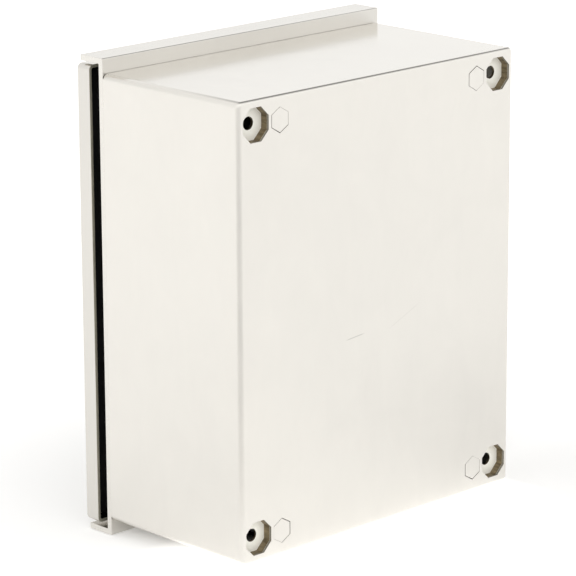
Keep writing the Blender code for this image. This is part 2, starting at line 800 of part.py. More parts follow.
# ---------------------------------------------------------------- door
def door_panel(door):
    half_width = BODY_WIDTH / 2
    box = (-half_width, half_width, DOOR_LOW, DOOR_HIGH)
    panel = folded_box("door_panel", box, DOOR_FACE, DOOR_REAR, DOOR_CORNER, DOOR_BEND, DOOR_SHEET)
    holes = bmesh.new()
    through = (DOOR_SKIN - DOOR_SHEET, DOOR_FACE + DOOR_SHEET)
    prism(holes, moved(circle(DOOR_HOLE, WIDE_ROUND), 0.0, SOCKET_UP), *through, seen_from_front)
    prism(holes, moved(circle(LOCK_BODY + GAP), LOCK_X, LOCK_UP), *through, seen_from_front)
    combine(panel, holes, "DIFFERENCE")
    hang_on(panel, door)


def door_gasket(door):
    lines = []
    for inset in (GASKET_INSET, GASKET_INSET + GASKET_WIDTH):
        half_width = BODY_WIDTH / 2 - inset
        radius = 0.0020
        lines.append(rounded_rectangle(-half_width, half_width, DOOR_LOW + inset, DOOR_HIGH - inset, radius))
    mesh = bmesh.new()
    ring_prism(mesh, *lines, SEAL_EDGE_TIP + GAP, DOOR_SKIN - GAP, seen_from_front)
    gasket = make("door_gasket", mesh)
    black_rubber(gasket)
    hang_on(gasket, door)


def opening_ring(name, section, door, material):
    """A ring about the meter axis, from its closed section."""
    mesh = bmesh.new()
    turned(mesh, section, seen_from_front, WIDE_ROUND, closed=True)
    ring = make(name, mesh, 0.0, 0.0, SOCKET_UP)
    smooth(ring)
    material(ring)
    hang_on(ring, door)
    return ring


def meter_collar(door):
    neck = COLLAR_BORE + COLLAR_SHEET
    foot_front = COLLAR_REAR + COLLAR_SHEET
    rim_rear = COLLAR_FRONT - COLLAR_SHEET
    section = [
        (COLLAR_BORE, COLLAR_REAR),
        (COLLAR_FOOT, COLLAR_REAR),
        (COLLAR_FOOT, foot_front),
        (neck, foot_front),
        (neck, rim_rear),
        (COLLAR_RIM, rim_rear),
        (COLLAR_RIM, COLLAR_FRONT),
        (COLLAR_BORE, COLLAR_FRONT),
    ]
    opening_ring("meter_collar", section, door, stainless_steel)


def rim_gasket(door):
    low = COLLAR_FRONT + GAP
    section = [
        (COLLAR_BORE, low),
        (COLLAR_RIM - GAP, low),
        (COLLAR_RIM - GAP, RIM_GASKET_FRONT),
        (COLLAR_BORE, RIM_GASKET_FRONT),
    ]
    opening_ring("rim_gasket", section, door, black_rubber)


def closing_disc(door):
    mesh = bmesh.new()
    edge = 0.0004
    radius = COLLAR_RIM - GAP
    profile = [
        (0, DISC_REAR),
        (radius - edge, DISC_REAR),
        (radius, DISC_REAR + edge),
        (radius, DISC_FRONT - edge),
        (radius - edge, DISC_FRONT),
        (0, DISC_FRONT),
    ]
    turned(mesh, profile, seen_from_front, WIDE_ROUND)
    disc = make("closing_disc", mesh, 0.0, 0.0, SOCKET_UP)
    smooth(disc)
    clear_plastic(disc)
    hang_on(disc, door)


def sealing_ring(door):
    """A split channel ring that clamps the disc to the collar's rim, drawn shut by a screw through two ears."""
    rear = COLLAR_FRONT - 2 * COLLAR_SHEET - GAP
    front = DISC_FRONT + GAP + RING_SHEET
    rear_leg = rear + RING_SHEET - GAP
    section = [
        (RING_INNER, rear),
        (RING_OUTER, rear),
        (RING_OUTER, front),
        (RING_INNER, front),
        (RING_INNER, front - RING_SHEET),
        (RING_CHANNEL, front - RING_SHEET),
        (RING_CHANNEL, rear_leg),
        (RING_INNER, rear_leg),
    ]
    ring = opening_ring("sealing_ring", section, door, stainless_steel)
    overlap = 0.0010
    half_ear = RING_SLIT / 2 + RING_SHEET
    ears = bmesh.new()
    ear = rectangle(-half_ear, half_ear, -RING_OUTER - RING_EAR, -RING_OUTER + overlap)
    prism(ears, ear, rear, front, seen_from_front)
    combine(ring, ears, "UNION")
    slit = bmesh.new()
    cut = rectangle(-RING_SLIT / 2, RING_SLIT / 2, -RING_OUTER - 2 * RING_EAR, -RING_INNER + 2 * overlap)
    prism(slit, cut, rear - overlap, front + overlap, seen_from_front)
    combine(ring, slit, "DIFFERENCE")
    screw_radius = 0.0020
    middle = (rear + front) / 2
    screw_up = -RING_OUTER - RING_EAR * 0.6
    hole = bmesh.new()
    bore = moved(circle(screw_radius + GAP, SMALL_ROUND), middle, screw_up)
    prism(hole, bore, -RING_EAR, RING_EAR, seen_from_side)
    combine(ring, hole, "DIFFERENCE")
    ring_screw(door, screw_radius, half_ear + GAP, middle, SOCKET_UP + screw_up)


def ring_screw(door, radius, seat, forward, up):
    head = radius * 1.75
    profile = [
        (0, -seat - 0.0020),
        (radius, -seat - 0.0020),
        (radius, seat),
        (head, seat),
        (head, seat + 0.0020),
        (radius, seat + 0.0026),
        (0, seat + 0.0026),
    ]
    mesh = bmesh.new()
    turned(mesh, profile, seen_from_side, SMALL_ROUND)
    screw = make("sealing_ring_screw", mesh, 0.0, forward, up)
    smooth(screw)
    stainless_steel(screw)
    hang_on(screw, door)


# ---------------------------------------------------------------- lock
def lock_housing(door):
    flange_rear = DOOR_FACE + GAP
    bevel = 0.0008
    section = [
        (LOCK_BORE, LOCK_REAR),
        (LOCK_BODY, LOCK_REAR),
        (LOCK_BODY, flange_rear),
        (LOCK_FLANGE, flange_rear),
        (LOCK_FLANGE, LOCK_FRONT - bevel),
        (LOCK_FLANGE - bevel, LOCK_FRONT),
        (LOCK_BORE, LOCK_FRONT),
    ]
    mesh = bmesh.new()
    turned(mesh, section, seen_from_front, closed=True)
    housing = make("lock_housing", mesh, LOCK_X, 0.0, LOCK_UP)
    smooth(housing)
    zinc_plated_steel(housing)
    hang_on(housing, door)


def lock_nut(door):
    mesh = bmesh.new()
    prism(mesh, polygon(6, LOCK_NUT_FLATS, 90), LOCK_NUT_REAR, DOOR_SKIN - GAP, seen_from_front)
    nut = make("lock_nut", mesh, LOCK_X, 0.0, LOCK_UP)
    bore = bmesh.new()
    prism(bore, circle(LOCK_BODY + GAP), LOCK_REAR, LOCK_FRONT, seen_from_front)
    combine(nut, bore, "DIFFERENCE")
    zinc_plated_steel(nut)
    hang_on(nut, door)


def lock_insert(lock):
    """The turning insert: a shaft with a double-bit key post in front and a stub for the cam behind."""
    shoulder = CAM_FRONT + GAP
    recess = LOCK_FRONT - 0.0068
    post_front = LOCK_FRONT - 0.0010
    post = 0.0024
    profile = [
        (0, CAM_NUT_REAR),
        (INSERT_STUB, CAM_NUT_REAR),
        (INSERT_STUB, shoulder),
        (INSERT_RADIUS, shoulder),
        (INSERT_RADIUS, recess),
        (post, recess),
        (post, post_front),
        (0, post_front),
    ]
    mesh = bmesh.new()
    turned(mesh, profile, seen_from_front)
    insert = make("lock_insert", mesh, LOCK_X, 0.0, LOCK_UP)
    bits = bmesh.new()
    prism(bits, rectangle(-0.0015, 0.0015, -0.0045, 0.0045), recess - 0.0010, post_front - 0.0004, seen_from_front)
    combine(insert, bits, "UNION")
    smooth(insert)
    zinc_plated_steel(insert)
    hang_on(insert, lock)


def lock_cam(lock):
    """The cam hangs down at rest, clear of the frame, and turns behind it."""
    half = CAM_WIDTH / 2
    outline = [
        *arc(0.0, 0.0, half, 0, 180, 10),
        *arc(0.0015 - half, 0.0015 - CAM_REACH, 0.0015, 180, 270, 3),
        *arc(half - 0.0015, 0.0015 - CAM_REACH, 0.0015, 270, 360, 3),
    ]
    mesh = bmesh.new()
    prism(mesh, outline, CAM_REAR, CAM_FRONT, seen_from_front)
    cam = make("lock_cam", mesh, LOCK_X, 0.0, LOCK_UP)
    bore = bmesh.new()
    prism(bore, circle(INSERT_STUB + GAP, SMALL_ROUND), CAM_REAR - CAM_WIDTH, CAM_FRONT + CAM_WIDTH, seen_from_front)
    combine(cam, bore, "DIFFERENCE")
    zinc_plated_steel(cam)
    hang_on(cam, lock)
    mesh = bmesh.new()
    prism(mesh, polygon(6, 0.0110, 90), CAM_NUT_REAR + 0.0006, CAM_REAR - GAP, seen_from_front)
    nut = make("cam_nut", mesh, LOCK_X, 0.0, LOCK_UP)
    bore = bmesh.new()
    prism(bore, circle(INSERT_STUB + GAP, SMALL_ROUND), CAM_REAR - CAM_WIDTH, CAM_FRONT, seen_from_front)
    combine(nut, bore, "DIFFERENCE")
    zinc_plated_steel(nut)
    hang_on(nut, lock)


# ---------------------------------------------------------------- assembly
def clear_scene():
    for thing in list(bpy.data.objects):
        bpy.data.objects.remove(thing, do_unlink=True)


def build_enclosure():
    body_shell()
    front_frame()
    mounting_plate()
    for row_name, row in ROWS:
        for side_name, side in CORNERS:
            place = f"{row_name}_{side_name}"
            wall_cup(f"wall_cup_{place}", side * CUP_X, row * CUP_UP)
            plate_standoff(f"plate_standoff_{place}", side * STANDOFF_X, row * STANDOFF_UP)
            plate_screw(f"plate_screw_{place}", side * STANDOFF_X, row * STANDOFF_UP)
    meter_socket()
    neutral_bar()
    earth_point()
    gland_plate()


def build_door():
    door = pivot_at("door_pivot", HINGE_X, HINGE_FORWARD, 0.0)
    door_panel(door)
    door_gasket(door)
    for row_name, row in ROWS:
        hinge(row_name, row * HINGE_UP, door)
    meter_collar(door)
    rim_gasket(door)
    closing_disc(door)
    sealing_ring(door)
    lock_housing(door)
    lock_nut(door)
    lock = pivot_at("lock_pivot", LOCK_X, 0.0, LOCK_UP, parent=door)
    lock_insert(lock)
    lock_cam(lock)


clear_scene()
build_enclosure()
build_door()
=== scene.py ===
"""Looks of the wall-mounting meter socket enclosure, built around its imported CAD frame.

Metres, in the frame's own coordinates: +Z up, the rear face in the XZ plane, the door facing -Y. As in the
CAD, "forward" is the distance in front of the rear face, so a point at forward f lies at Y = -f.
"""

import json
import math

import bmesh
import bpy
from mathutils import Matrix, Quaternion, Vector


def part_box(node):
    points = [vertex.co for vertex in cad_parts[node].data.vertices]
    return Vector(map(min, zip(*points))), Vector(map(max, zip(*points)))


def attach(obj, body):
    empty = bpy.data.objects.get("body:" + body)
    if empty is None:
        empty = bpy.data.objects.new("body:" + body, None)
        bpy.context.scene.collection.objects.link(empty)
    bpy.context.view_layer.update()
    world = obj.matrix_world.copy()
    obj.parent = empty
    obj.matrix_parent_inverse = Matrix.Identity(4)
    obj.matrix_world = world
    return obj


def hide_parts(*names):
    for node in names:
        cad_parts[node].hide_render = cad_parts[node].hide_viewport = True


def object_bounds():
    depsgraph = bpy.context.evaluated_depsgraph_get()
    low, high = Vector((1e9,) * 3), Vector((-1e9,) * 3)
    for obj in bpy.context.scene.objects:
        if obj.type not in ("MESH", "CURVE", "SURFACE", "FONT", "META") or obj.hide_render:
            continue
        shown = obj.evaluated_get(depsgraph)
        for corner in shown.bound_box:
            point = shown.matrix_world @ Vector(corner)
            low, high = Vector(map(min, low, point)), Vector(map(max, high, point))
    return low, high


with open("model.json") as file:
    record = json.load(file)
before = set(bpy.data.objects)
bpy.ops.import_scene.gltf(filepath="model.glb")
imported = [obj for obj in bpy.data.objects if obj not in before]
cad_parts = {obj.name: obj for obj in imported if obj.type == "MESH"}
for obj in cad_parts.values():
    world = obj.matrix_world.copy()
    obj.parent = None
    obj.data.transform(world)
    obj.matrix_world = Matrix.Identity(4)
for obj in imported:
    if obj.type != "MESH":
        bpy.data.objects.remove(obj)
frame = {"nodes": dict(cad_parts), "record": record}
CAD_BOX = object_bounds()

# ---- driving dimensions
SHELL_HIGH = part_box("body_shell")[1]
FRAME_LOW, FRAME_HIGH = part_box("front_frame")
DOOR_LOW, DOOR_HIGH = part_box("door_panel")
GASKET_LOW, GASKET_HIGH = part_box("door_gasket")
HALF_WIDTH = SHELL_HIGH.x
HALF_HEIGHT = SHELL_HIGH.z
FRAME_REAR = -FRAME_HIGH.y
LIP_TIP = -FRAME_LOW.y
LIP_TOP = FRAME_HIGH.z
DOOR_REAR = -DOOR_HIGH.y
DOOR_FACE = -DOOR_LOW.y
GAP = 0.0003

SHELL_SHEET = 0.0015
SHELL_CORNER = 0.0040
SHELL_BENDS = (0.0036, 0.0018)  # along the sides, and along the top and bottom
FRAME_SHEET = 0.0038
FRAME_BEND = 0.0007
OPENING_HALF_WIDTH = 0.109
OPENING_HALF_HEIGHT = 0.139
OPENING_CORNER = 0.006
SEAL_EDGE = 0.0020
DOOR_SHEET = 0.0022
DOOR_CORNER = 0.0035
DOOR_BEND = 0.0024
DOOR_HOLE = 0.0800
CUP_FLATS = 0.0220
CUP_WALL = 0.0010
CUP_FLOOR = 0.0020
WALL_BOLT_HOLE = 0.00425
STANDOFF_FLATS = 0.0139
HEAD_PLAY = 0.0006  # how much wider its hole in the rear sheet is
SEAM = 0.0006  # open line between the shell's top or bottom and the frame
JAW_SHEET = 0.0016
HINGE_BORE = 0.0028
KNUCKLE = 0.0050
LEAF_SHEET = 0.0020
COLLAR_BORE = 0.0785
COLLAR_SHEET = 0.0015
LOCK_BORE = 0.0063
LOCK_BODY = 0.0110
PAST = 0.0010  # how far a cut goes beyond the sheet
FINE = 96  # segments of a large round piece
SMALL = 40  # segments of a screw

CAMERA_PLACE = (1.4790, 1.4397, 0.5723)
CAMERA_TARGET = (0.0, -0.0858, -0.0074)
CAMERA_ROLL = -0.273  # degrees
CAMERA_LENS = 207.0
# Scratches on the rear face: right, up, slope in degrees, half length, strength
REAR_SCRATCHES = ((0.023, -0.019, -5.0, 0.009, 0.40), (-0.022, -0.014, -23.0, 0.017, 0.10))
DIM_CEILING = (-0.40, 0.0, 0.917)  # the middle of the dim part of the ceiling

SIDES = (("left", -1), ("right", 1))
ROWS = (("upper", 1), ("lower", -1))
LINES = (("line", 1), ("load", -1))
CORNERS = tuple(f"{row}_{side}" for row, _ in ROWS for side, _ in SIDES)
# Each hexagon head sits a little off the middle of its hole, as (right, up)
HEAD_SHIFT = {
    "upper_right": (-0.00016, 0.00013),
    "upper_left": (-0.00022, -0.00016),
    "lower_right": (0.00015, -0.00012),
    "lower_left": (-0.00022, 0.00016),
}


# ---- coordinates and outlines
def seen_from_front(right, up, forward):
    return (right, -forward, up)


def seen_from_side(forward, up, right):
    return (right, -forward, up)


def seen_from_above(right, forward, up):
    return (right, -forward, up)


def middle(node):
    low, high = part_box(node)
    return (low + high) / 2


def reach(node):
    """Where a node starts and ends, as distances in front of the rear face."""
    low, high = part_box(node)
    return -high.y, -low.y


def centre_line(node):
    """The place on the rear face that is straight behind a node's middle."""
    return (middle(node).x, 0.0, middle(node).z)


def half_sizes(node):
    """Half of a node's width and half of its height."""
    low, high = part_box(node)
    return (high.x - low.x) / 2, (high.z - low.z) / 2


def arc(centre_u, centre_v, radius, start, end, steps=8):
    """Points along an arc; start and end are in degrees."""
    angles = [math.radians(start + (end - start) * i / steps) for i in range(steps + 1)]
    return [(centre_u + radius * math.cos(a), centre_v + radius * math.sin(a)) for a in angles]


def rectangle(left, right, low, high):
    return [(left, low), (right, low), (right, high), (left, high)]


def rounded_rectangle(left, right, low, high, radius, steps=8):
    return [
        *arc(right - radius, low + radius, radius, -90, 0, steps),
        *arc(right - radius, high - radius, radius, 0, 90, steps),
        *arc(left + radius, high - radius, radius, 90, 180, steps),
        *arc(left + radius, low + radius, radius, 180, 270, steps),
    ]


def polygon(sides, across_flats, turn=0.0):
    radius = across_flats / 2 / math.cos(math.pi / sides)
    return arc(0, 0, radius, turn, turn + 360, sides)[:-1]


def circle(radius, segments=FINE):
    return arc(0, 0, radius, 0, 360, segments)[:-1]


def moved(outline, along_u, along_v):
    return [(u + along_u, v + along_v) for u, v in outline]


def mirrored(half):
    """An outline from its right half."""
    return half + [(-u, v) for u, v in half[::-1]]


def left_normal(direction):
    return Vector((-direction.y, direction.x))


def bent_strip(path, thickness, radius, steps=8):
    """Outline of a strip folded along a path, with a bend of this mid-line radius at each inner point."""
    points = [Vector(point) for point in path]
    line = [(points[0], (points[1] - points[0]).normalized())]
    for before, corner, after in zip(points, points[1:], points[2:]):
        incoming = (corner - before).normalized()
        outgoing = (after - corner).normalized()
        turn = math.atan2(incoming.cross(outgoing), incoming.dot(outgoing))
        side = math.copysign(radius, turn)
        start = corner - incoming * radius * math.tan(abs(turn) / 2)
        centre = start + left_normal(incoming) * side
        for step in range(steps + 1):
            direction = Matrix.Rotation(turn * step / steps, 2) @ incoming
            line.append((centre - left_normal(direction) * side, direction))
    line.append((points[-1], (points[-1] - points[-2]).normalized()))
    half = thickness / 2
    one_side = [tuple(point + left_normal(way) * half) for point, way in line]
    other_side = [tuple(point - left_normal(way) * half) for point, way in line]
    return one_side + other_side[::-1]


def thread(radius, start, end, pitch=0.0010):
    """The profile of a threaded stretch, as ridges between two distances."""
    turns = max(1, round(abs(end - start) / pitch))
    step = (end - start) / turns
    groove = radius - 0.45 * pitch
    profile = [(radius, start)]
    for turn in range(turns):
        profile.append((groove, start + step * (turn + 0.5)))
        profile.append((radius, start + step * (turn + 1)))
    return profile


# ---- meshes
def band(mesh, one, other):
    """Faces between two rings of points."""
    for i in range(len(one)):
        j = (i + 1) % len(one)
        mesh.faces.new((one[i], one[j], other[j], other[i]))


def tube(mesh, rings):
    """Faces between successive rings, and one over each end."""
    mesh.faces.new(rings[0])
    mesh.faces.new(rings[-1][::-1])
    for one, other in zip(rings, rings[1:]):
        band(mesh, one, other)


def prism(mesh, outline, start, end, view):
    near = [mesh.verts.new(view(u, v, start)) for u, v in outline]
    far = [mesh.verts.new(view(u, v, end)) for u, v in outline]
    mesh.faces.new(near[::-1])
    mesh.faces.new(far)
    band(mesh, near, far)


def ring_prism(mesh, outer, inner, start, end, view):
    levels = [(line, w) for line in (outer, inner) for w in (start, end)]
    loops = [[mesh.verts.new(view(u, v, w)) for u, v in line] for line, w in levels]
    outer_near, outer_far, inner_near, inner_far = loops
    around = (outer_near, outer_far, inner_far, inner_near)
    for i in range(len(outer)):
        j = (i + 1) % len(outer)
        for one, other in zip(around, around[1:] + around[:1]):
            mesh.faces.new((one[i], one[j], other[j], other[i]))


def turned(mesh, profile, view, segments=64, closed=False):
    rings = []
    for radius, distance in profile:
        outline = circle(radius, segments) if radius else [(0, 0)]
        rings.append([mesh.verts.new(view(u, v, distance)) for u, v in outline])
    pairs = list(zip(rings, rings[1:]))
    if closed:
        pairs.append((rings[-1], rings[0]))
    for one, other in pairs:
        for i in range(segments):
            j = (i + 1) % segments
            corners = (one[i % len(one)], one[j % len(one)], other[j % len(other)], other[i % len(other)])
            mesh.faces.new(list(dict.fromkeys(corners)))


def solid(name, mesh, place=(0, 0, 0)):
    """An object from a bmesh, its mesh moved to a place (right, forward, up)."""
    bmesh.ops.recalc_face_normals(mesh, faces=mesh.faces)
    data = bpy.data.meshes.new(name)
    mesh.to_mesh(data)
    mesh.free()
    right, forward, up = place
    data.transform(Matrix.Translation((right, -forward, up)))
    made = bpy.data.objects.new(name, data)
    bpy.context.scene.collection.objects.link(made)
    return made


def extruded(name, outline, start, end, view, place=(0, 0, 0)):
    mesh = bmesh.new()
    prism(mesh, outline, start, end, view)
    return solid(name, mesh, place)


def lathed(name, profile, view, segments, place=(0, 0, 0), closed=False):
    """A profile of (radius, distance) turned about its axis; a closed one has a hole through it."""
    mesh = bmesh.new()
    turned(mesh, profile, view, segments, closed)
    return solid(name, mesh, place)


def settle(made):
    """Replaces an object's mesh with the one its modifiers give."""
    evaluated = made.evaluated_get(bpy.context.evaluated_depsgraph_get())
    data = bpy.data.meshes.new_from_object(evaluated)
    old = made.data
    made.modifiers.clear()
    made.data = data
    bpy.data.meshes.remove(old)


def combine(made, mesh, operation="DIFFERENCE", place=(0, 0, 0)):
    helper = solid("helper", mesh, place)
    boolean = made.modifiers.new(operation, "BOOLEAN")
    boolean.operation = operation
    boolean.solver = "EXACT"
    boolean.object = helper
    settle(made)
    bpy.data.objects.remove(helper)


def cut(made, outlines, start, end, view, place=(0, 0, 0), operation="DIFFERENCE"):
    """Cuts straight holes with these outlines, or adds bosses with them."""
    mesh = bmesh.new()
    for outline in outlines:
        prism(mesh, outline, start, end, view)
    combine(made, mesh, operation, place)


def soften(made, width, segments=3, angle=30):
    """Rounds every sharp edge a little, as a deburred or ground edge is."""
    bevel = made.modifiers.new("Softened", "BEVEL")
    bevel.width = width
    bevel.segments = segments
    bevel.limit_method = "ANGLE"
    bevel.angle_limit = math.radians(angle)
    bevel.use_clamp_overlap = True
    bevel.harden_normals = False
    settle(made)


def smooth(made, angle=35):
    """Smooth shading in which the rounded edges of a large flat face start in exactly its own direction."""
    data = made.data
    data.shade_smooth()
    data.set_sharp_from_angle(angle=math.radians(angle))
    normals = [corner.vector.copy() for corner in data.corner_normals]
    flat_area = 0.004 * sum(face.area for face in data.polygons)
    flats = {}
    for face in data.polygons:
        if face.area > flat_area:
            for vertex in face.vertices:
                flats.setdefault(vertex, []).append(face.normal.copy())
    for corner, loop in enumerate(data.loops):
        for normal in flats.get(loop.vertex_index, ()):
            if normals[corner].dot(normal) > math.cos(math.radians(25)):
                normals[corner] = normal
    data.normals_split_custom_set(normals)


def add(made, body, material, slot, *nodes):
    """Gives a finished piece its material, its body and the CAD nodes it stands for."""
    smooth(made)
    made.data.materials.clear()
    made.data.materials.append(material)
    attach(made, body)
    if nodes:
        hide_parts(*nodes)


# ---- materials
class Tree:
    """A short way to write the nodes of a material or of the world."""

    def __init__(self, name, owner=None):
        self.owner = owner or bpy.data.materials.new(name)
        self.owner.use_nodes = True
        self.nodes = self.owner.node_tree.nodes
        self.links = self.owner.node_tree.links
        self.shader = self.nodes.get("Principled BSDF")
        self.coordinates = self.nodes.new("ShaderNodeTexCoord").outputs

    def feed(self, socket, value):
        """Gives a socket a number, a colour or another node's output."""
        if isinstance(value, tuple):
            socket.default_value = (*value, 1.0)
        elif isinstance(value, (int, float)):
            socket.default_value = value
        else:
            self.links.new(value, socket)

    def part(self, output, axis):
        """One coordinate of the place or of the normal, in the object's own directions."""
        node = self.nodes.new("ShaderNodeSeparateXYZ")
        self.links.new(self.coordinates[output], node.inputs["Vector"])
        return node.outputs[axis]

    def noise(self, scale, detail=3.0, roughness=0.55, distortion=0.0, turn=(0, 0, 0)):
        """Noise from 0 to 1; the scale is in cycles per metre, the same or different along the axes."""
        mapping = self.nodes.new("ShaderNodeMapping")
        mapping.inputs["Scale"].default_value = scale if isinstance(scale, tuple) else (scale,) * 3
        mapping.inputs["Rotation"].default_value = turn
        self.links.new(self.coordinates["Object"], mapping.inputs["Vector"])
        texture = self.nodes.new("ShaderNodeTexNoise")
        texture.inputs["Scale"].default_value = 1.0
        texture.inputs["Detail"].default_value = detail
        texture.inputs["Roughness"].default_value = roughness
        texture.inputs["Distortion"].default_value = distortion
        self.links.new(mapping.outputs["Vector"], texture.inputs["Vector"])
        return texture.outputs["Fac"]

    def range(self, value, *limits, interpolation="LINEAR"):
        """Maps a value; the limits are from low, from high, to low and to high."""
        node = self.nodes.new("ShaderNodeMapRange")
        node.interpolation_type = interpolation
        for name, limit in zip(("From Min", "From Max", "To Min", "To Max"), limits):
            node.inputs[name].default_value = limit
        self.links.new(value, node.inputs["Value"])
        return node.outputs["Result"]

    def math(self, operation, one, other=0.0):
        node = self.nodes.new("ShaderNodeMath")
        node.operation = operation
        self.feed(node.inputs[0], one)
        self.feed(node.inputs[1], other)
        return node.outputs["Value"]

    def plus(self, one, other):
        return self.math("ADD", one, other)

    def minus(self, one, other):
        return self.math("SUBTRACT", one, other)

    def times(self, one, other):
        return self.math("MULTIPLY", one, other)

    def size(self, value):
        return self.math("ABSOLUTE", value)

    def mix(self, factor, one, other):
        """Mixes two numbers."""
        node = self.nodes.new("ShaderNodeMix")
        node.data_type = "FLOAT"
        for place, value in ((0, factor), (2, one), (3, other)):
            self.feed(node.inputs[place], value)
        return node.outputs[0]

    def colour(self, factor, one, other):
        """Mixes two colours."""
        node = self.nodes.new("ShaderNodeMix")
        node.data_type = "RGBA"
        for place, value in ((0, factor), (6, one), (7, other)):
            self.feed(node.inputs[place], value)
        return node.outputs[2]

    def bump(self, height, depth, strength=1.0, below=None):
        node = self.nodes.new("ShaderNodeBump")
        node.inputs["Distance"].default_value = depth
        node.inputs["Strength"].default_value = strength
        self.links.new(height, node.inputs["Height"])
        if below is not None:
            self.links.new(below, node.inputs["Normal"])
        return node.outputs["Normal"]

    def finish(self, colour, roughness, normal=None, metallic=0.0):
        self.feed(self.shader.inputs["Base Color"], colour)
        self.feed(self.shader.inputs["Roughness"], roughness)
        self.feed(self.shader.inputs["Metallic"], metallic)
        if normal is not None:
            self.links.new(normal, self.shader.inputs["Normal"])
        return self.owner


def shade(colour, factor):
    return tuple(min(1.0, channel * factor) for channel in colour)


def satin_steel(name, colour, roughness=0.36):
    """Satin sheet steel: fine upright lines, soft blotches from handling and a few faint scratches."""
    tree = Tree(name)
    fine, long = 2600, 45
    upright = tree.noise((fine, fine, long), detail=2.0)
    on_top = tree.noise((long, fine, fine), detail=2.0)
    level = tree.range(tree.size(tree.part("Normal", "Z")), 0.6, 0.8, 0.0, 1.0)
    grain = tree.mix(level, upright, on_top)
    blotch = tree.noise(16, detail=4.0, roughness=0.6, distortion=0.6)
    smear = tree.noise((55, 55, 22), detail=3.0, roughness=0.65, distortion=1.2)
    tone = tree.mix(0.18, tree.mix(0.45, blotch, smear), grain)
    base = tree.colour(tree.range(tone, 0.30, 0.70, 0.0, 1.0), shade(colour, 0.965), shade(colour, 1.025))
    scratches = tree.noise((1500, 1500, 22), detail=1.0, turn=(0.0, 1.15, 0.0))
    base = tree.colour(tree.range(scratches, 0.76, 0.84, 0.0, 0.25), base, shade(colour, 0.85))
    rough = tree.plus(tree.range(smear, 0.25, 0.75, roughness - 0.045, roughness + 0.045),
                      tree.range(grain, 0.25, 0.75, -0.05, 0.05))
    rough = tree.mix(level, rough, tree.range(grain, 0.25, 0.75, 0.12, 0.19))
    lines = tree.bump(grain, 0.000006, 0.9, below=tree.bump(blotch, 0.00020, 0.6))
    return tree.finish(base, rough, lines, metallic=1.0)


def scratched_steel(name, colour):
    """Satin steel with the two longer handling scratches of the rear face."""
    tree = Tree(name, satin_steel(name, colour))
    marks = 0.0
    for right, up, slope, half_length, depth in REAR_SCRATCHES:
        cos, sin = math.cos(math.radians(slope)), math.sin(math.radians(slope))
        x = tree.minus(tree.part("Object", "X"), right)
        z = tree.minus(tree.part("Object", "Z"), up)
        along = tree.plus(tree.times(x, cos), tree.times(z, sin))
        aside = tree.minus(tree.times(z, cos), tree.times(x, sin))
        line = tree.range(tree.size(aside), 0.0001, 0.0005, depth, 0.0)
        ends = tree.range(tree.size(along), 0.6 * half_length, half_length, 1.0, 0.0)
        marks = tree.math("MAXIMUM", marks, tree.times(line, ends))
    marks = tree.times(marks, tree.range(tree.part("Normal", "Y"), 0.9, 0.95, 0.0, 1.0))
    socket = tree.shader.inputs["Base Color"]
    tree.feed(socket, tree.colour(marks, socket.links[0].from_socket, shade(colour, 0.35)))
    return tree.owner


def cut_steel(name, colour, roughness=0.30):
    """Ground or sheared steel: short crossing marks."""
    tree = Tree(name)
    marks = tree.noise((900, 900, 160), detail=3.0, turn=(0.5, 0.3, 0.6))
    stain = tree.noise(70, detail=3.0)
    base = tree.colour(tree.mix(0.5, marks, stain), shade(colour, 0.88), shade(colour, 1.06))
    rough = tree.range(marks, 0.3, 0.7, roughness - 0.06, roughness + 0.08)
    return tree.finish(base, rough, tree.bump(marks, 0.00001), metallic=1.0)


def mill_steel(name, colour, roughness=0.5):
    """Unpolished steel, a matt and cloudy mill finish; both of its uses here give it a dark colour that
    partly paints shade.
    """
    tree = Tree(name)
    cloud = tree.noise(40, detail=4.0, roughness=0.6)
    fine = tree.noise(700, detail=3.0)
    base = tree.colour(tree.mix(0.35, cloud, fine), shade(colour, 0.88), shade(colour, 1.12))
    rough = tree.range(cloud, 0.3, 0.7, roughness - 0.07, roughness + 0.07)
    return tree.finish(base, rough, tree.bump(fine, 0.00001), metallic=1.0)


def drawn_steel_lit_and_shaded(name, colour):
    """Pressed steel with painted light and shade: bright and matt on its flat floor, dark and brown on its
    drawn walls, where the shade of the cup's recess is painted.
    """
    tree = Tree(name)
    wall = tree.range(tree.size(tree.part("Normal", "Y")), 0.35, 0.75, 1.0, 0.0)
    streaks = tree.noise((500, 90, 500), detail=3.0)
    # Painted shade on the drawn walls of the recess, painted light on its flat floor
    shaded_wall = tree.colour(tree.range(streaks, 0.3, 0.7, 0.0, 1.0), (0.16, 0.128, 0.082), (0.36, 0.295, 0.195))
    lit_floor = tree.colour(tree.noise(110, detail=3.0), shade(colour, 0.94), shade(colour, 1.04))
    rough = tree.mix(wall, 0.60, 0.50)
    metallic = tree.mix(wall, 0.0, 1.0)
    return tree.finish(tree.colour(wall, lit_floor, shaded_wall), rough, tree.bump(streaks, 0.00002), metallic)


def plated_steel(name, colour, roughness=0.33):
    """Zinc plating: faint crystalline mottling and a little dulling."""
    tree = Tree(name)
    mottle = tree.noise(420, detail=4.0, roughness=0.7)
    cloud = tree.noise(60, detail=2.0)
    base = tree.colour(tree.mix(0.6, mottle, cloud), shade(colour, 0.86), shade(colour, 1.10))
    rough = tree.range(cloud, 0.3, 0.7, roughness - 0.06, roughness + 0.10)
    return tree.finish(base, rough, tree.bump(mottle, 0.00002), metallic=1.0)


def machined_metal(name, colour, roughness=0.28, fine=(1800, 200, 1800)):
    """Tin, aluminium or brass with fine tool lines and slight tarnish."""
    tree = Tree(name)
    lines = tree.noise(fine, detail=2.0)
    tarnish = tree.noise(95, detail=4.0, roughness=0.6)
    base = tree.colour(tree.range(tarnish, 0.35, 0.75, 0.0, 1.0), colour, shade(colour, 0.78))
    rough = tree.range(tarnish, 0.3, 0.7, roughness, roughness + 0.12)
    return tree.finish(base, rough, tree.bump(lines, 0.000012), metallic=1.0)


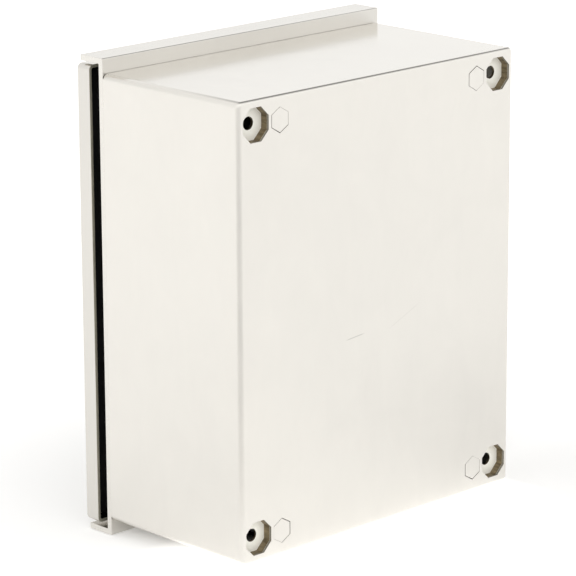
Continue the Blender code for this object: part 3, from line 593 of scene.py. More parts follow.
def foam_rubber(name, colour):
    """Closed-cell sealing foam: fine cells and a slightly greyer skin."""
    tree = Tree(name)
    cells = tree.noise(1600, detail=3.0, roughness=0.7)
    dust = tree.noise(60, detail=3.0)
    base = tree.colour(tree.range(dust, 0.4, 0.8, 0.0, 1.0), colour, shade(colour, 1.8))
    tree.shader.inputs["Specular IOR Level"].default_value = 0.15
    return tree.finish(base, tree.range(cells, 0.3, 0.7, 0.85, 0.98), tree.bump(cells, 0.00008))


def moulded_plastic(name, colour, roughness=0.5):
    """Moulded insulator or plug: a fine spark-eroded texture with slight flow marks."""
    tree = Tree(name)
    texture = tree.noise(1900, detail=2.0)
    flow = tree.noise((25, 25, 80), detail=3.0, distortion=1.0)
    base = tree.colour(flow, shade(colour, 0.88), shade(colour, 1.16))
    rough = tree.range(flow, 0.3, 0.7, roughness - 0.07, roughness + 0.07)
    return tree.finish(base, rough, tree.bump(texture, 0.00003))


def clear_polycarbonate(name):
    """Clear moulded plastic with a faint haze and a few scuffs."""
    tree = Tree(name)
    haze = tree.noise(30, detail=3.0)
    scuffs = tree.noise((700, 700, 90), detail=2.0, turn=(0, 0.6, 0))
    rough = tree.plus(tree.range(haze, 0.3, 0.8, 0.004, 0.014), tree.range(scuffs, 0.64, 0.75, 0.0, 0.03))
    tint = tree.colour(haze, (0.95, 0.97, 0.97), (0.92, 0.95, 0.95))
    tree.shader.inputs["Transmission Weight"].default_value = 1.0
    tree.shader.inputs["IOR"].default_value = 1.45
    tree.shader.inputs["Alpha"].default_value = 0.30
    return tree.finish(tint, rough, tree.bump(haze, 0.000006))


STEEL_COLOUR = (0.760, 0.738, 0.695)
SATIN = satin_steel("satin_steel", STEEL_COLOUR)
SATIN_BODY = scratched_steel("satin_steel_body", STEEL_COLOUR)
# The body steel at 0.91 of its colour, for the frame, the door, its collar and its ring: painted shade that
# keeps the front pieces darker than the shell
SATIN_FRONT_PAINTED_SHADE = satin_steel("satin_steel_door_painted_shade", shade(STEEL_COLOUR, 0.91), 0.38)
# The shell's inner side: unpolished, and dark with painted shade of the inside of the box
MILL_PAINTED_SHADE = mill_steel("mill_finish_painted_shade", (0.37, 0.35, 0.31))
# The door's rear-facing cut edge: a real rough sheared finish, in a dark olive that paints the shade of the
# gap before the frame
SHEARED_PAINTED_SHADE = mill_steel("sheared_edge_painted_shade", (0.50, 0.48, 0.40), 0.7)
# The cups' bright matt floors and dark brown walls are painted light and shade of their recesses
DRAWN_LIT_AND_SHADED = drawn_steel_lit_and_shaded("drawn_steel_lit_and_shaded", (1.0, 0.965, 0.885))
CUT = cut_steel("cut_steel", STEEL_COLOUR)
PLATED = plated_steel("zinc_plated_steel", (0.62, 0.63, 0.62))
TINNED = machined_metal("tinned_copper", (0.78, 0.76, 0.72))
ALUMINIUM = machined_metal("aluminium", (0.77, 0.78, 0.79), 0.36, (200, 2000, 2000))
BRASS = machined_metal("brass", (0.80, 0.62, 0.30))
FOAM = foam_rubber("black_rubber", (0.004, 0.004, 0.0045))
INSULATOR = moulded_plastic("moulded_insulator", (0.055, 0.045, 0.040), 0.52)
PLASTIC = moulded_plastic("grey_plastic", (0.36, 0.37, 0.38), 0.45)
CLEAR = clear_polycarbonate("clear_plastic")
BY_SLOT = {
    "stainless_steel": SATIN,
    "zinc_plated_steel": PLATED,
    "tinned_copper": TINNED,
    "aluminium": ALUMINIUM,
    "brass": BRASS,
    "black_rubber": FOAM,
    "moulded_insulator": INSULATOR,
    "grey_plastic": PLASTIC,
    "clear_plastic": CLEAR,
}


def dress_nodes():
    """Gives every carried-over node the material of its slot."""
    for part in frame["record"]["subparts"]:
        data = frame["nodes"][part["node"]].data
        data.materials.clear()
        data.materials.append(BY_SLOT[part["material_slot"]])


# ---- folded sheet pieces
def corner_lines(box, corner, steps):
    """A rounded rectangle as pairs of a point and the outward direction there."""
    left, right, low, high = box
    centres = [(right - corner, high - corner), (left + corner, high - corner),
               (left + corner, low + corner), (right - corner, low + corner)]
    pairs = []
    for quarter, (u, v) in enumerate(centres):
        for step in range(steps + 1):
            angle = math.radians(90 * quarter + 90 * step / steps)
            out = (math.cos(angle), math.sin(angle))
            pairs.append(((u + corner * out[0], v + corner * out[1]), out))
    return pairs


def pan_rings(box, floor, rim, corner, bends, steps):
    """Rings of points from an open rim to the floor; bends are (at the sides, at the ends)."""
    sign = 1 if rim > floor else -1
    lines = corner_lines(box, corner, steps)
    rings = [[seen_from_front(*point, rim) for point, _ in lines]]
    for step in range(steps + 1):
        angle = math.radians(90 * step / steps)
        ring = []
        for (u, v), (out_u, out_v) in lines:
            bend = bends[0] * out_u ** 2 + bends[1] * out_v ** 2
            inset = bend * (1 - math.cos(angle))
            level = floor + sign * bend * (1 - math.sin(angle))
            ring.append(seen_from_front(u - out_u * inset, v - out_v * inset, level))
        rings.append(ring)
    return rings


def folded_pan(name, box, floor, rim, corner, bends, sheet, steps=9):
    """A thin pan with round corners and bends, from the forward distances of its floor and its rim."""
    inner_floor = floor + (sheet if rim > floor else -sheet)
    inner_box = (box[0] + sheet, box[1] - sheet, box[2] + sheet, box[3] - sheet)
    inner_bends = [max(bend - sheet, 0.0003) for bend in bends]
    outer = pan_rings(box, floor, rim, corner, bends, steps)
    inner = pan_rings(inner_box, inner_floor, rim, max(corner - sheet, 0.0005), inner_bends, steps)
    mesh = bmesh.new()
    tube(mesh, [[mesh.verts.new(point) for point in ring] for ring in outer[::-1] + inner])
    return solid(name, mesh)


def second_material(made, material, chosen):
    """Gives the faces for which chosen(centre, normal) is true another material."""
    made.data.materials.append(material)
    for face in made.data.polygons:
        if chosen(face.center, face.normal):
            face.material_index = 1


def shell_skin():
    box = (-HALF_WIDTH, HALF_WIDTH, -HALF_HEIGHT, HALF_HEIGHT)
    made = folded_pan("shell_skin", box, 0.0, FRAME_REAR, SHELL_CORNER, SHELL_BENDS, SHELL_SHEET)
    openings = bmesh.new()
    through = (-SHELL_SHEET, 2 * SHELL_SHEET)
    for corner in CORNERS:
        cup = middle(f"wall_cup_{corner}")
        head = middle(f"plate_standoff_{corner}")
        octagon, hexagon = polygon(8, CUP_FLATS, 22.5), polygon(6, STANDOFF_FLATS + HEAD_PLAY, 90)
        prism(openings, moved(octagon, cup.x, cup.z), *through, seen_from_front)
        prism(openings, moved(hexagon, head.x, head.z), *through, seen_from_front)
    low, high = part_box("gland_gasket")
    rim = 0.012
    entry = rounded_rectangle(low.x + rim, high.x - rim, -high.y + rim, -low.y - rim, 0.005)
    prism(openings, entry, -HALF_HEIGHT - SHELL_SHEET, -HALF_HEIGHT + 2 * SHELL_SHEET, seen_from_above)
    combine(made, openings)
    half = HALF_WIDTH - 0.0002
    ends = [sorted((row * (HALF_HEIGHT - SHELL_CORNER), row * (HALF_HEIGHT + SEAM))) for _, row in ROWS]
    seams = [rectangle(-half, half, *pair) for pair in ends]
    cut(made, seams, FRAME_REAR - SEAM, FRAME_REAR + SEAM, seen_from_front)
    soften(made, 0.00025, 2, 50)
    add(made, "enclosure", SATIN_BODY, "stainless_steel", "body_shell")
    heart = middle("body_shell")
    margin = 0.004

    # Painted shade: the inner side and the walls of the openings take the dark mill finish, which darkens
    # the holes as the shade inside the box would
    def unpolished_and_shaded(place, normal):
        inside_edges = abs(place.x) < HALF_WIDTH - margin and abs(place.z) < HALF_HEIGHT - margin
        return abs(normal.y) < 0.5 and inside_edges or (place - heart).dot(normal) < 0

    second_material(made, MILL_PAINTED_SHADE, unpolished_and_shaded)


def frame_skin():
    """The front frame: its lips above and below, its opening and the raised edge around that."""
    under = LIP_TOP - FRAME_SHEET
    inner_bend = 0.0006
    front = FRAME_REAR + FRAME_SHEET
    behind = FRAME_REAR + FRAME_BEND
    before = front + inner_bend
    section = [
        (LIP_TIP, LIP_TOP),
        *arc(behind, LIP_TOP - FRAME_BEND, FRAME_BEND, 90, 180),
        *arc(behind, FRAME_BEND - LIP_TOP, FRAME_BEND, 180, 270),
        (LIP_TIP, -LIP_TOP),
        (LIP_TIP, -under),
        *arc(before, inner_bend - under, inner_bend, 270, 180, 5),
        *arc(before, under - inner_bend, inner_bend, 180, 90, 5),
        (LIP_TIP, under),
    ]
    made = extruded("frame_skin", section, -HALF_WIDTH, HALF_WIDTH, seen_from_side)
    inner = (-OPENING_HALF_WIDTH, OPENING_HALF_WIDTH, -OPENING_HALF_HEIGHT, OPENING_HALF_HEIGHT)
    outline = rounded_rectangle(*inner, OPENING_CORNER)
    cut(made, [outline], FRAME_REAR - SEAL_EDGE, front + SEAL_EDGE, seen_from_front)
    edge = bmesh.new()
    outer = rounded_rectangle(inner[0] - SEAL_EDGE, inner[1] + SEAL_EDGE, inner[2] - SEAL_EDGE,
                              inner[3] + SEAL_EDGE, OPENING_CORNER + SEAL_EDGE)
    tip = -GASKET_HIGH.y - GAP
    ring_prism(edge, outer, outline, FRAME_REAR + FRAME_SHEET / 2, tip, seen_from_front)
    combine(made, edge, "UNION")
    soften(made, 0.00030, 3, 50)
    add(made, "enclosure", SATIN_FRONT_PAINTED_SHADE, "stainless_steel", "front_frame")
    second_material(made, CUT, lambda _, normal: abs(normal.x) > 0.95)


def door_skin():
    box = (-HALF_WIDTH, HALF_WIDTH, DOOR_LOW.z, DOOR_HIGH.z)
    bends = (DOOR_BEND, DOOR_BEND)
    made = folded_pan("door_skin", box, DOOR_FACE, DOOR_REAR, DOOR_CORNER, bends, DOOR_SHEET)
    lock = middle("lock_nut")
    meter_hole = moved(circle(DOOR_HOLE), 0.0, middle("closing_disc").z)
    lock_hole = moved(circle(LOCK_BODY + GAP), lock.x, lock.z)
    cut(made, [meter_hole, lock_hole], DOOR_FACE - 2 * DOOR_SHEET, DOOR_FACE + DOOR_SHEET, seen_from_front)
    soften(made, 0.00030, 3, 50)
    add(made, "door", SATIN_FRONT_PAINTED_SHADE, "stainless_steel", "door_panel")
    # Painted shade: the rear-facing cut edge of the door takes the dark olive sheared finish
    second_material(made, SHEARED_PAINTED_SHADE, lambda place, normal: normal.y > 0.5 and place.y > DOOR_HIGH.y - 0.0005)


def foam_gasket():
    """The door's seal: a foamed-in-place strip with a rounded crown."""
    width, corner = 0.0150, 0.0105
    rear, front = -GASKET_HIGH.y, -GASKET_LOW.y
    outer = (GASKET_LOW.x, GASKET_HIGH.x, GASKET_LOW.z, GASKET_HIGH.z)
    lines = []
    steps = 10
    for step in range(steps + 1):
        angle = math.pi * step / steps
        inset = width / 2 * (1 - math.cos(angle))
        crown = (front - rear) * math.sin(angle) ** 0.5 if 0 < step < steps else 0.0
        box = (outer[0] + inset, outer[1] - inset, outer[2] + inset, outer[3] - inset)
        lines.append((rounded_rectangle(*box, max(corner - inset * 0.6, 0.0012), 10), front - crown))
    mesh = bmesh.new()
    loops = [[mesh.verts.new(seen_from_front(u, v, level)) for u, v in line] for line, level in lines]
    for one, other in zip(loops, loops[1:] + loops[:1]):
        band(mesh, one, other)
    add(solid("foam_seal", mesh), "door", FOAM, "black_rubber", "door_gasket")


# ---- rear corner pieces
def cup_skin(corner):
    """An octagonal mounting cup behind the shell, with its bolt hole."""
    node = f"wall_cup_{corner}"
    low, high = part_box(node)
    place = ((low.x + high.x) / 2, 0.0, (low.z + high.z) / 2)
    depth = -low.y
    outline = polygon(8, CUP_FLATS + 2 * CUP_WALL, 22.5)
    made = extruded(f"cup_skin_{corner}", outline, SHELL_SHEET + GAP, depth, seen_from_front, place)
    cut(made, [polygon(8, CUP_FLATS + GAP, 22.5)], -CUP_FLOOR, depth - CUP_FLOOR, seen_from_front, place)
    cut(made, [circle(WALL_BOLT_HOLE, SMALL)], 0.0, depth + CUP_FLOOR, seen_from_front, place)
    soften(made, 0.00020, 2, 40)
    add(made, "enclosure", DRAWN_LIT_AND_SHADED, "stainless_steel", node)


def standoff(corner):
    """A blind threaded standoff, its hexagon head flush in the rear sheet."""
    node = f"plate_standoff_{corner}"
    place = centre_line(node)
    base = SHELL_SHEET + GAP
    top = reach(node)[1]
    flange, barrel, bore, edge = 0.0080, 0.0050, 0.0026, 0.0004
    step = base + 0.0012
    bottom = 0.0050
    profile = [
        (0, base),
        (flange, base),
        (flange, step),
        (barrel, step),
        (barrel, top - edge),
        (barrel - edge, top),
        (bore + edge, top),
        (bore, top - edge),
        (bore, bottom),
        (0, bottom),
    ]
    made = lathed(f"standoff_skin_{corner}", profile, seen_from_front, SMALL, place)
    outline = moved(polygon(6, STANDOFF_FLATS, 90), *HEAD_SHIFT[corner])
    cut(made, [outline], 0.0001, base + 0.0005, seen_from_front, place, "UNION")
    soften(made, 0.00015, 2, 40)
    add(made, "enclosure", SATIN, "stainless_steel", node)


def rear_corner_pieces():
    for corner in CORNERS:
        cup_skin(corner)
        standoff(corner)


# ---- screws and nuts
def button_screw(name, body, place, view, tip, seat, shank, head, height, *nodes):
    """A flanged button-head screw with a hexagon socket, plated."""
    brim = seat + 0.25 * height
    crown = 0.8 * head
    angles = [i * math.pi / 18 for i in range(8)]
    dome = [(crown * math.cos(a), brim + 0.75 * height * math.sin(a)) for a in angles]
    threaded = thread(shank, tip + 0.3 * shank, seat)
    profile = [(0, tip), (0.8 * shank, tip), *threaded, (head, seat), (head, brim), *dome, (0, dome[-1][1])]
    made = lathed(name, profile, view, SMALL, place)
    cut(made, [polygon(6, 0.85 * head, 30)], seat + 0.35 * height, seat + 2 * height, view, place)
    soften(made, 0.00012, 2, 40)
    add(made, body, PLATED, "zinc_plated_steel", *nodes)


def clamping_screw(node, radius, material, slot, slotted):
    """A headless threaded screw with a slot or a hexagon socket in its face."""
    rear, front = reach(node)
    place = centre_line(node)
    edge = 0.0005
    threaded = thread(radius, rear + edge, front - edge)
    profile = [(0, rear), (radius - edge, rear), *threaded, (radius - edge, front), (0, front)]
    made = lathed(f"{node}_skin", profile, seen_from_front, SMALL, place)
    slot_outline = rectangle(-2 * radius, 2 * radius, -0.16 * radius, 0.16 * radius)
    drive = slot_outline if slotted else polygon(6, radius, 30)
    cut(made, [drive], front - 0.8 * radius, front + radius, seen_from_front, place)
    add(made, "enclosure", material, slot, node)


def hexagon_nut(node, body, flats, bore, material, slot):
    """A nut with the corners of both faces turned off and a chamfered bore."""
    rear, front = reach(node)
    place = centre_line(node)
    made = extruded(f"{node}_skin", polygon(6, flats, 90), rear, front, seen_from_front, place)
    inner = 0.48 * flats
    outer = 0.6 * flats
    drop = (outer - inner) * 0.5
    rear_half = [(0, rear), (inner, rear), (outer, rear + drop)]
    limit = rear_half + [(outer, front - drop), (inner, front), (0, front)]
    trim = bmesh.new()
    turned(trim, limit, seen_from_front, SMALL)
    combine(made, trim, "INTERSECT", place)
    hole = bmesh.new()
    edge = 0.0006
    mouth = bore + edge + PAST
    bevelled = [
        (0, rear - PAST),
        (mouth, rear - PAST),
        (bore, rear + edge),
        (bore, front - edge),
        (mouth, front + PAST),
        (0, front + PAST),
    ]
    turned(hole, bevelled, seen_from_front, SMALL)
    combine(made, hole, place=place)
    soften(made, 0.00012, 2, 40)
    add(made, body, material, slot, node)


# ---- mounting plate and meter socket
def mounting_plate():
    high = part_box("mounting_plate")[1]
    rear, front = reach("mounting_plate")
    notch_x, notch_up, hole, shank = 0.0960, 0.1180, 0.0033, 0.0023
    quarter = [(high.x, notch_up), (notch_x, notch_up), (notch_x, high.z)]
    upper = mirrored(quarter)
    outline = upper + [(-u, -v) for u, v in upper]
    made = extruded("mounting_plate_skin", outline, rear, front, seen_from_front)
    screws = [middle(f"plate_screw_{corner}") for corner in CORNERS]
    holes = [moved(circle(hole, SMALL), screw.x, screw.z) for screw in screws]
    cut(made, holes, rear - PAST, front + PAST, seen_from_front)
    soften(made, 0.00030, 2, 50)
    add(made, "enclosure", PLATED, "zinc_plated_steel", "mounting_plate")
    seat = front + GAP
    for corner in CORNERS:
        node = f"plate_screw_{corner}"
        place = centre_line(node)
        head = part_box(node)[1].x - place[0]
        tip, end = reach(node)
        sizes = (tip, seat, shank, head, end - seat)
        button_screw(f"{node}_skin", "enclosure", place, seen_from_front, *sizes, node)


def socket_bracket():
    """Hat section that carries the jaw blocks, screwed down through its feet."""
    low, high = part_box("socket_bracket")
    sheet, web, bend, hole = 0.0020, 0.0490, 0.0025, 0.0026
    up = (low.z + high.z) / 2
    half_height = half_sizes("socket_bracket")[1]
    rear = -high.y + sheet / 2
    front = -low.y - sheet / 2
    foot = high.x
    path = [(-foot, rear), (-web, rear), (-web, front), (web, front), (web, rear), (foot, rear)]
    place = (0.0, 0.0, up)
    outline = bent_strip(path, sheet, bend)
    made = extruded("socket_bracket_skin", outline, -half_height, half_height, seen_from_above, place)
    across = (web + foot) / 2
    along = half_height - 0.0110
    holes = [moved(circle(hole, SMALL), side * across, row * along) for _, side in SIDES for _, row in ROWS]
    cut(made, holes, rear - sheet, rear + sheet, seen_from_front, place)
    soften(made, 0.00025, 2, 50)
    add(made, "enclosure", PLATED, "zinc_plated_steel", "socket_bracket")
    seat = rear + sheet / 2 + GAP / 3
    screw = (seat - 0.0035, seat, 0.0022, 0.0046, 0.0026)
    for side_name, side in SIDES:
        for row_name, row in ROWS:
            spot = (side * across, 0.0, up + row * along)
            name = f"bracket_screw_{row_name}_{side_name}"
            button_screw(name, "enclosure", spot, seen_from_front, *screw)


def jaw_block(line):
    """Moulded insulator: a slab with a raised pad under each jaw, two ribs and two fixing screws."""
    node = f"jaw_block_{line}"
    low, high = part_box(node)
    up = (low.z + high.z) / 2
    half_height = half_sizes(node)[1]
    rear, pad = -high.y, -low.y
    slab, outer, inner, rib = 0.0740, 0.0580, 0.0180, 0.0040
    half = [(inner, slab), (inner, pad), (outer, pad), (outer, slab), (high.x, slab), (high.x, rear)]
    place = (0.0, 0.0, up)
    made = extruded(f"{node}_skin", mirrored(half), -half_height, half_height, seen_from_above, place)
    pockets = []
    for _, side in SIDES:
        for _, end in ROWS:
            edge = sorted((side * (inner + rib), side * (outer - rib)))
            span = sorted((end * (half_height - 0.0012), end * (half_height + 0.0010)))
            pockets.append(rectangle(*edge, *span))
    cut(made, pockets, slab + 0.0020, pad - 0.0025, seen_from_front, place)
    soften(made, 0.00060, 3, 40)
    add(made, "enclosure", INSULATOR, "moulded_insulator", node)
    seat = slab + GAP / 3
    screw = (seat - 0.0100, seat, 0.0024, 0.0050, 0.0030)
    for number, end in enumerate((1, -1), start=1):
        spot = (0.0, 0.0, up + end * 0.0130)
        button_screw(f"{node}_screw_{number}", "enclosure", spot, seen_from_front, *screw)


def meter_jaw(line, side):
    """A sprung jaw: a strip bent to a U that pinches the meter's blade and flares at its mouth."""
    node = f"meter_jaw_{line}_{side}"
    low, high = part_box(node)
    place = (middle(node).x, -high.y, middle(node).z)
    depth = high.y - low.y
    half = [(0.0070, JAW_SHEET / 2), (0.0070, 0.0090), (0.0021, 0.0270), (0.0055, 0.0340)]
    path = [(-u, v) for u, v in half[::-1]] + half
    half_length = half_sizes(node)[1]
    outline = bent_strip(path, JAW_SHEET, 0.0020)
    made = extruded(f"{node}_skin", outline, -half_length, half_length, seen_from_above, place)
    slot = rectangle(-2 * depth, 2 * depth, -0.0005, 0.0005)
    cut(made, [slot], 0.0120, 2 * depth, seen_from_front, place)
    soften(made, 0.00020, 2, 50)
    add(made, "enclosure", TINNED, "tinned_copper", node)


def wire_lug(line, side):
    """An aluminium lug with a vertical wire hole and a clamping screw from the front."""
    node = f"wire_lug_{line}_{side}"
    rear, front = reach(node)
    place = centre_line(node)
    half_width, half_length = half_sizes(node)
    wire, wire_hole, screw_hole, corner = 0.0960, 0.0065, 0.0043, 0.0015
    outline = rounded_rectangle(-half_width, half_width, rear, front, corner, 6)
    made = extruded(f"{node}_skin", outline, -half_length, half_length, seen_from_above, place)
    hole = moved(circle(wire_hole, SMALL), 0.0, wire)
    cut(made, [hole], -2 * half_length, 2 * half_length, seen_from_above, place)
    cut(made, [circle(screw_hole, SMALL)], wire, 1.2 * front, seen_from_front, place)
    soften(made, 0.00035, 2, 50)
    add(made, "enclosure", ALUMINIUM, "aluminium", node)
    clamping_screw(f"lug_screw_{line}_{side}", 0.0040, PLATED, "zinc_plated_steel", False)


def meter_socket():
    socket_bracket()
    for line, _ in LINES:
        jaw_block(line)
        for side, _ in SIDES:
            meter_jaw(line, side)
            wire_lug(line, side)


def neutral_bar():
    place = centre_line("neutral_bar")
    half_width, half_length = half_sizes("neutral_bar")
    rear, front = reach("neutral_bar")
    wire = rear + 0.42 * (front - rear)
    outline = rounded_rectangle(-half_width, half_width, rear, front, 0.0010, 6)
    made = extruded("neutral_bar_skin", outline, -half_length, half_length, seen_from_above, place)
    ups = [middle(f"neutral_screw_{number}").z - place[2] for number in (1, 2, 3)]
    wire_hole, screw_hole, far = 0.0042, 0.0035, 0.02
    wire_holes = [moved(circle(wire_hole, SMALL), wire, up) for up in ups]
    screw_holes = [moved(circle(screw_hole, SMALL), 0.0, up) for up in ups]
    cut(made, wire_holes, -far, far, seen_from_side, place)
    cut(made, screw_holes, wire, 2 * front, seen_from_front, place)
    soften(made, 0.00030, 2, 50)
    add(made, "enclosure", BRASS, "brass", "neutral_bar")
    for number in (1, 2, 3):
        clamping_screw(f"neutral_screw_{number}", 0.0032, BRASS, "brass", True)


def earth_point():
    """A threaded stud on the mounting plate with its washer and nut."""
    rear, front = reach("earth_stud")
    low, high = reach("earth_washer")
    place = centre_line("earth_stud")
    radius, rim, point = 0.0038, 0.0080, 0.0008
    threaded = thread(radius, low, front - point)
    profile = [(0, rear), (radius, rear), *threaded, (radius - point, front), (0, front)]
    made = lathed("earth_stud_skin", profile, seen_from_front, SMALL, place)
    add(made, "enclosure", SATIN, "stainless_steel", "earth_stud")
    section = [(radius + GAP, low), (rim, low), (rim, high), (radius + GAP, high)]
    made = lathed("earth_washer_skin", section, seen_from_front, SMALL, place, closed=True)
    soften(made, 0.00030, 3, 50)
    add(made, "enclosure", SATIN, "stainless_steel", "earth_washer")
    hexagon_nut("earth_nut", "enclosure", 0.0130, radius + GAP, SATIN, "stainless_steel")


# ---- gland plate
def gland_plate():
    low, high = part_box("gland_plate")
    forward = -(low.y + high.y) / 2
    place = (0.0, forward, 0.0)
    half_width = high.x
    half_forward = (high.y - low.y) / 2
    corner, entry, inset = 0.006, 0.0123, 0.0060
    outline = rounded_rectangle(-half_width, half_width, -half_forward, half_forward, corner)
    made = extruded("gland_plate_skin", outline, low.z, high.z, seen_from_above, place)
    entries = [moved(circle(entry), middle(f"gland_plug_{side}").x, 0.0) for side, _ in SIDES]
    cut(made, entries, low.z - PAST, high.z + PAST, seen_from_above, place)
    soften(made, 0.00030, 2, 50)
    add(made, "enclosure", SATIN, "stainless_steel", "gland_plate")
    seat = high.z + GAP / 3
    screw = (seat - 0.0040, seat, 0.0020, 0.0040, 0.0024)
    for side_name, side in SIDES:
        blanking_plug(side_name, forward)
        for end_name, end in (("front", 1), ("rear", -1)):
            spot = (side * (half_width - inset), forward + end * (half_forward - inset), 0.0)
            button_screw(f"gland_screw_{end_name}_{side_name}", "enclosure", spot, seen_from_above, *screw)


def blanking_plug(side, forward):
    """A domed plug with a stepped head below the plate and a slotted shank above it."""
    node = f"gland_plug_{side}"
    low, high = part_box(node)
    head = (high.x - low.x) / 2
    shank = 0.0120
    wall = 0.0015
    seat = low.z + 0.0030
    angles = [i * math.pi / 12 for i in range(7)]
    profile = [
        (0, low.z),
        (0.45 * head, low.z + 0.0001),
        (0.50 * head, low.z + 0.0005),
        (0.80 * head, low.z + 0.0006),
        *[(head - 0.0016 * (1 - math.sin(a)), seat - 0.0010 - 0.0014 * math.cos(a)) for a in angles],
        (head, seat),
        (shank, seat),
        (shank, high.z - 0.0025),
        (shank + 0.0002, high.z - 0.0015),
        (shank - 0.0004, high.z),
        (shank - wall, high.z),
        (shank - wall, seat),
        (0, seat),
    ]
    place = (middle(node).x, forward, 0.0)
    made = lathed(f"{node}_skin", profile, seen_from_above, 64, place)
    slot = rectangle(-head, head, -0.0012, 0.0012)
    cut(made, [slot], seat + 0.0040, high.z + PAST, seen_from_above, place)
    add(made, "enclosure", PLASTIC, "grey_plastic", node)


# ---- hinges
def hinge_leaf(node, body):
    """A leaf that runs off the inner side of its knuckle."""
    low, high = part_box(node)
    pin = middle("hinge_pin_upper")
    section = [(HINGE_BORE, low.z), (KNUCKLE, low.z), (KNUCKLE, high.z), (HINGE_BORE, high.z)]
    place = (pin.x, -pin.y, 0.0)
    made = lathed(f"{node}_skin", section, seen_from_above, SMALL, place, closed=True)
    ends = (-high.y + pin.y, 0.0) if body == "enclosure" else (0.0, -low.y + pin.y)
    leaf = rectangle(KNUCKLE - LEAF_SHEET, KNUCKLE, *ends)
    cut(made, [leaf], low.z, high.z, seen_from_above, place, "UNION")
    soften(made, 0.00030, 3, 40)
    add(made, body, SATIN, "stainless_steel", node)


def weld_bead(leaf, body, forward, radius):
    """A rippled bead beside a hinge leaf, along the side of the box or the door."""
    margin, ripple = 0.0020, 0.0011
    low, high = (box.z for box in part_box(leaf))
    low, high = low + margin, high - margin
    mesh = bmesh.new()
    steps = round((high - low) / ripple * 6)
    rings = []
    for step in range(steps + 1):
        up = low + (high - low) * step / steps
        swell = radius * (0.90 + 0.10 * abs(math.sin(math.pi * (up - low) / ripple)))
        if step in (0, steps):
            swell = radius * 0.45
        outline = moved(circle(swell, 12), -HALF_WIDTH - 0.0004, forward)
        rings.append([mesh.verts.new(seen_from_above(u, v, up)) for u, v in outline])
    tube(mesh, rings)
    add(solid(f"{leaf}_weld", mesh), body, CUT, "stainless_steel")


def hinges():
    radius = 0.0025
    for row, _ in ROWS:
        fixed, moving, pin = (f"hinge_{part}_{row}" for part in ("fixed_leaf", "door_leaf", "pin"))
        hinge_leaf(fixed, "enclosure")
        hinge_leaf(moving, "door")
        low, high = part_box(pin)
        profile = [(0, low.z), (radius, low.z), (radius, high.z - 0.0012)]
        nose = [(radius - 0.0004, high.z - 0.0004), (radius - 0.0012, high.z), (0, high.z)]
        place = (middle(pin).x, -middle(pin).y, 0.0)
        made = lathed(f"{pin}_skin", profile + nose, seen_from_above, SMALL, place)
        add(made, "enclosure", PLATED, "stainless_steel", pin)
        weld_bead(fixed, "enclosure", reach(fixed)[0], 0.0011)
        weld_bead(moving, "door", reach(moving)[1], 0.0007)


# ---- meter opening in the door
def opening_ring(section, material, slot, node):
    place = (0.0, 0.0, middle("closing_disc").z)
    made = lathed(f"{node}_skin", section, seen_from_front, FINE, place, closed=True)
    soften(made, 0.0002, 3, 50)
    add(made, "door", material, slot, node)


def meter_collar():
    """The folded collar on the door, and the eight rivets of its flange."""
    rear, front = reach("meter_collar")
    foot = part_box("meter_collar")[1].x
    rim, bend = 0.0850, 0.0012
    neck = COLLAR_BORE + COLLAR_SHEET
    step = rear + COLLAR_SHEET
    section = [
        (COLLAR_BORE, rear),
        (foot, rear),
        (foot, step),
        *arc(neck + bend, step + bend, bend, 270, 180, 6),
        *arc(neck + bend, front - COLLAR_SHEET - bend, bend, 180, 90, 6),
        (rim, front - COLLAR_SHEET),
        (rim, front),
        *arc(COLLAR_BORE + bend, front - bend, bend, 90, 180, 6),
    ]
    opening_ring(section, SATIN_FRONT_PAINTED_SHADE, "stainless_steel", "meter_collar")
    up = middle("closing_disc").z
    rivets = bmesh.new()
    radius, height, circle_radius, count = 0.0020, 0.0010, 0.0872, 8
    angles = [i * math.pi / 12 for i in range(6)]
    dome = [(radius * math.cos(a), step + height * math.sin(a)) for a in angles]
    for number in range(count):
        turn = math.radians(180 / count + 360 / count * number)
        spot = (circle_radius * math.cos(turn), circle_radius * math.sin(turn) + up)
        rings = []
        for size, level in [(radius, step - 0.0004), *dome]:
            outline = moved(circle(size, 20), *spot)
            rings.append([rivets.verts.new(seen_from_front(u, v, level)) for u, v in outline])
        tube(rivets, rings)
    add(solid("collar_rivets", rivets), "door", CUT, "stainless_steel")


def rim_gasket():
    rear, front = reach("rim_gasket")
    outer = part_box("rim_gasket")[1].x
    section = [(COLLAR_BORE, rear), (outer, rear), (outer, front), (COLLAR_BORE, front)]
    opening_ring(section, FOAM, "black_rubber", "rim_gasket")


def closing_disc():
    """A clear moulded disc with a slightly thicker border."""
    rear, front = reach("closing_disc")
    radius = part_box("closing_disc")[1].x
    border, step, edge = 0.0720, 0.0003, 0.0004
    profile = [
        (0, rear + step),
        (border, rear + step),
        (border + 2 * step, rear),
        (radius - edge, rear),
        (radius, rear + edge),
        (radius, front - edge),
        (radius - edge, front),
        (border + 2 * step, front),
        (border, front - step),
        (0, front - step),
    ]
    place = (0.0, 0.0, middle("closing_disc").z)
    made = lathed("closing_disc_skin", profile, seen_from_front, FINE, place)
    add(made, "door", CLEAR, "clear_plastic", "closing_disc")


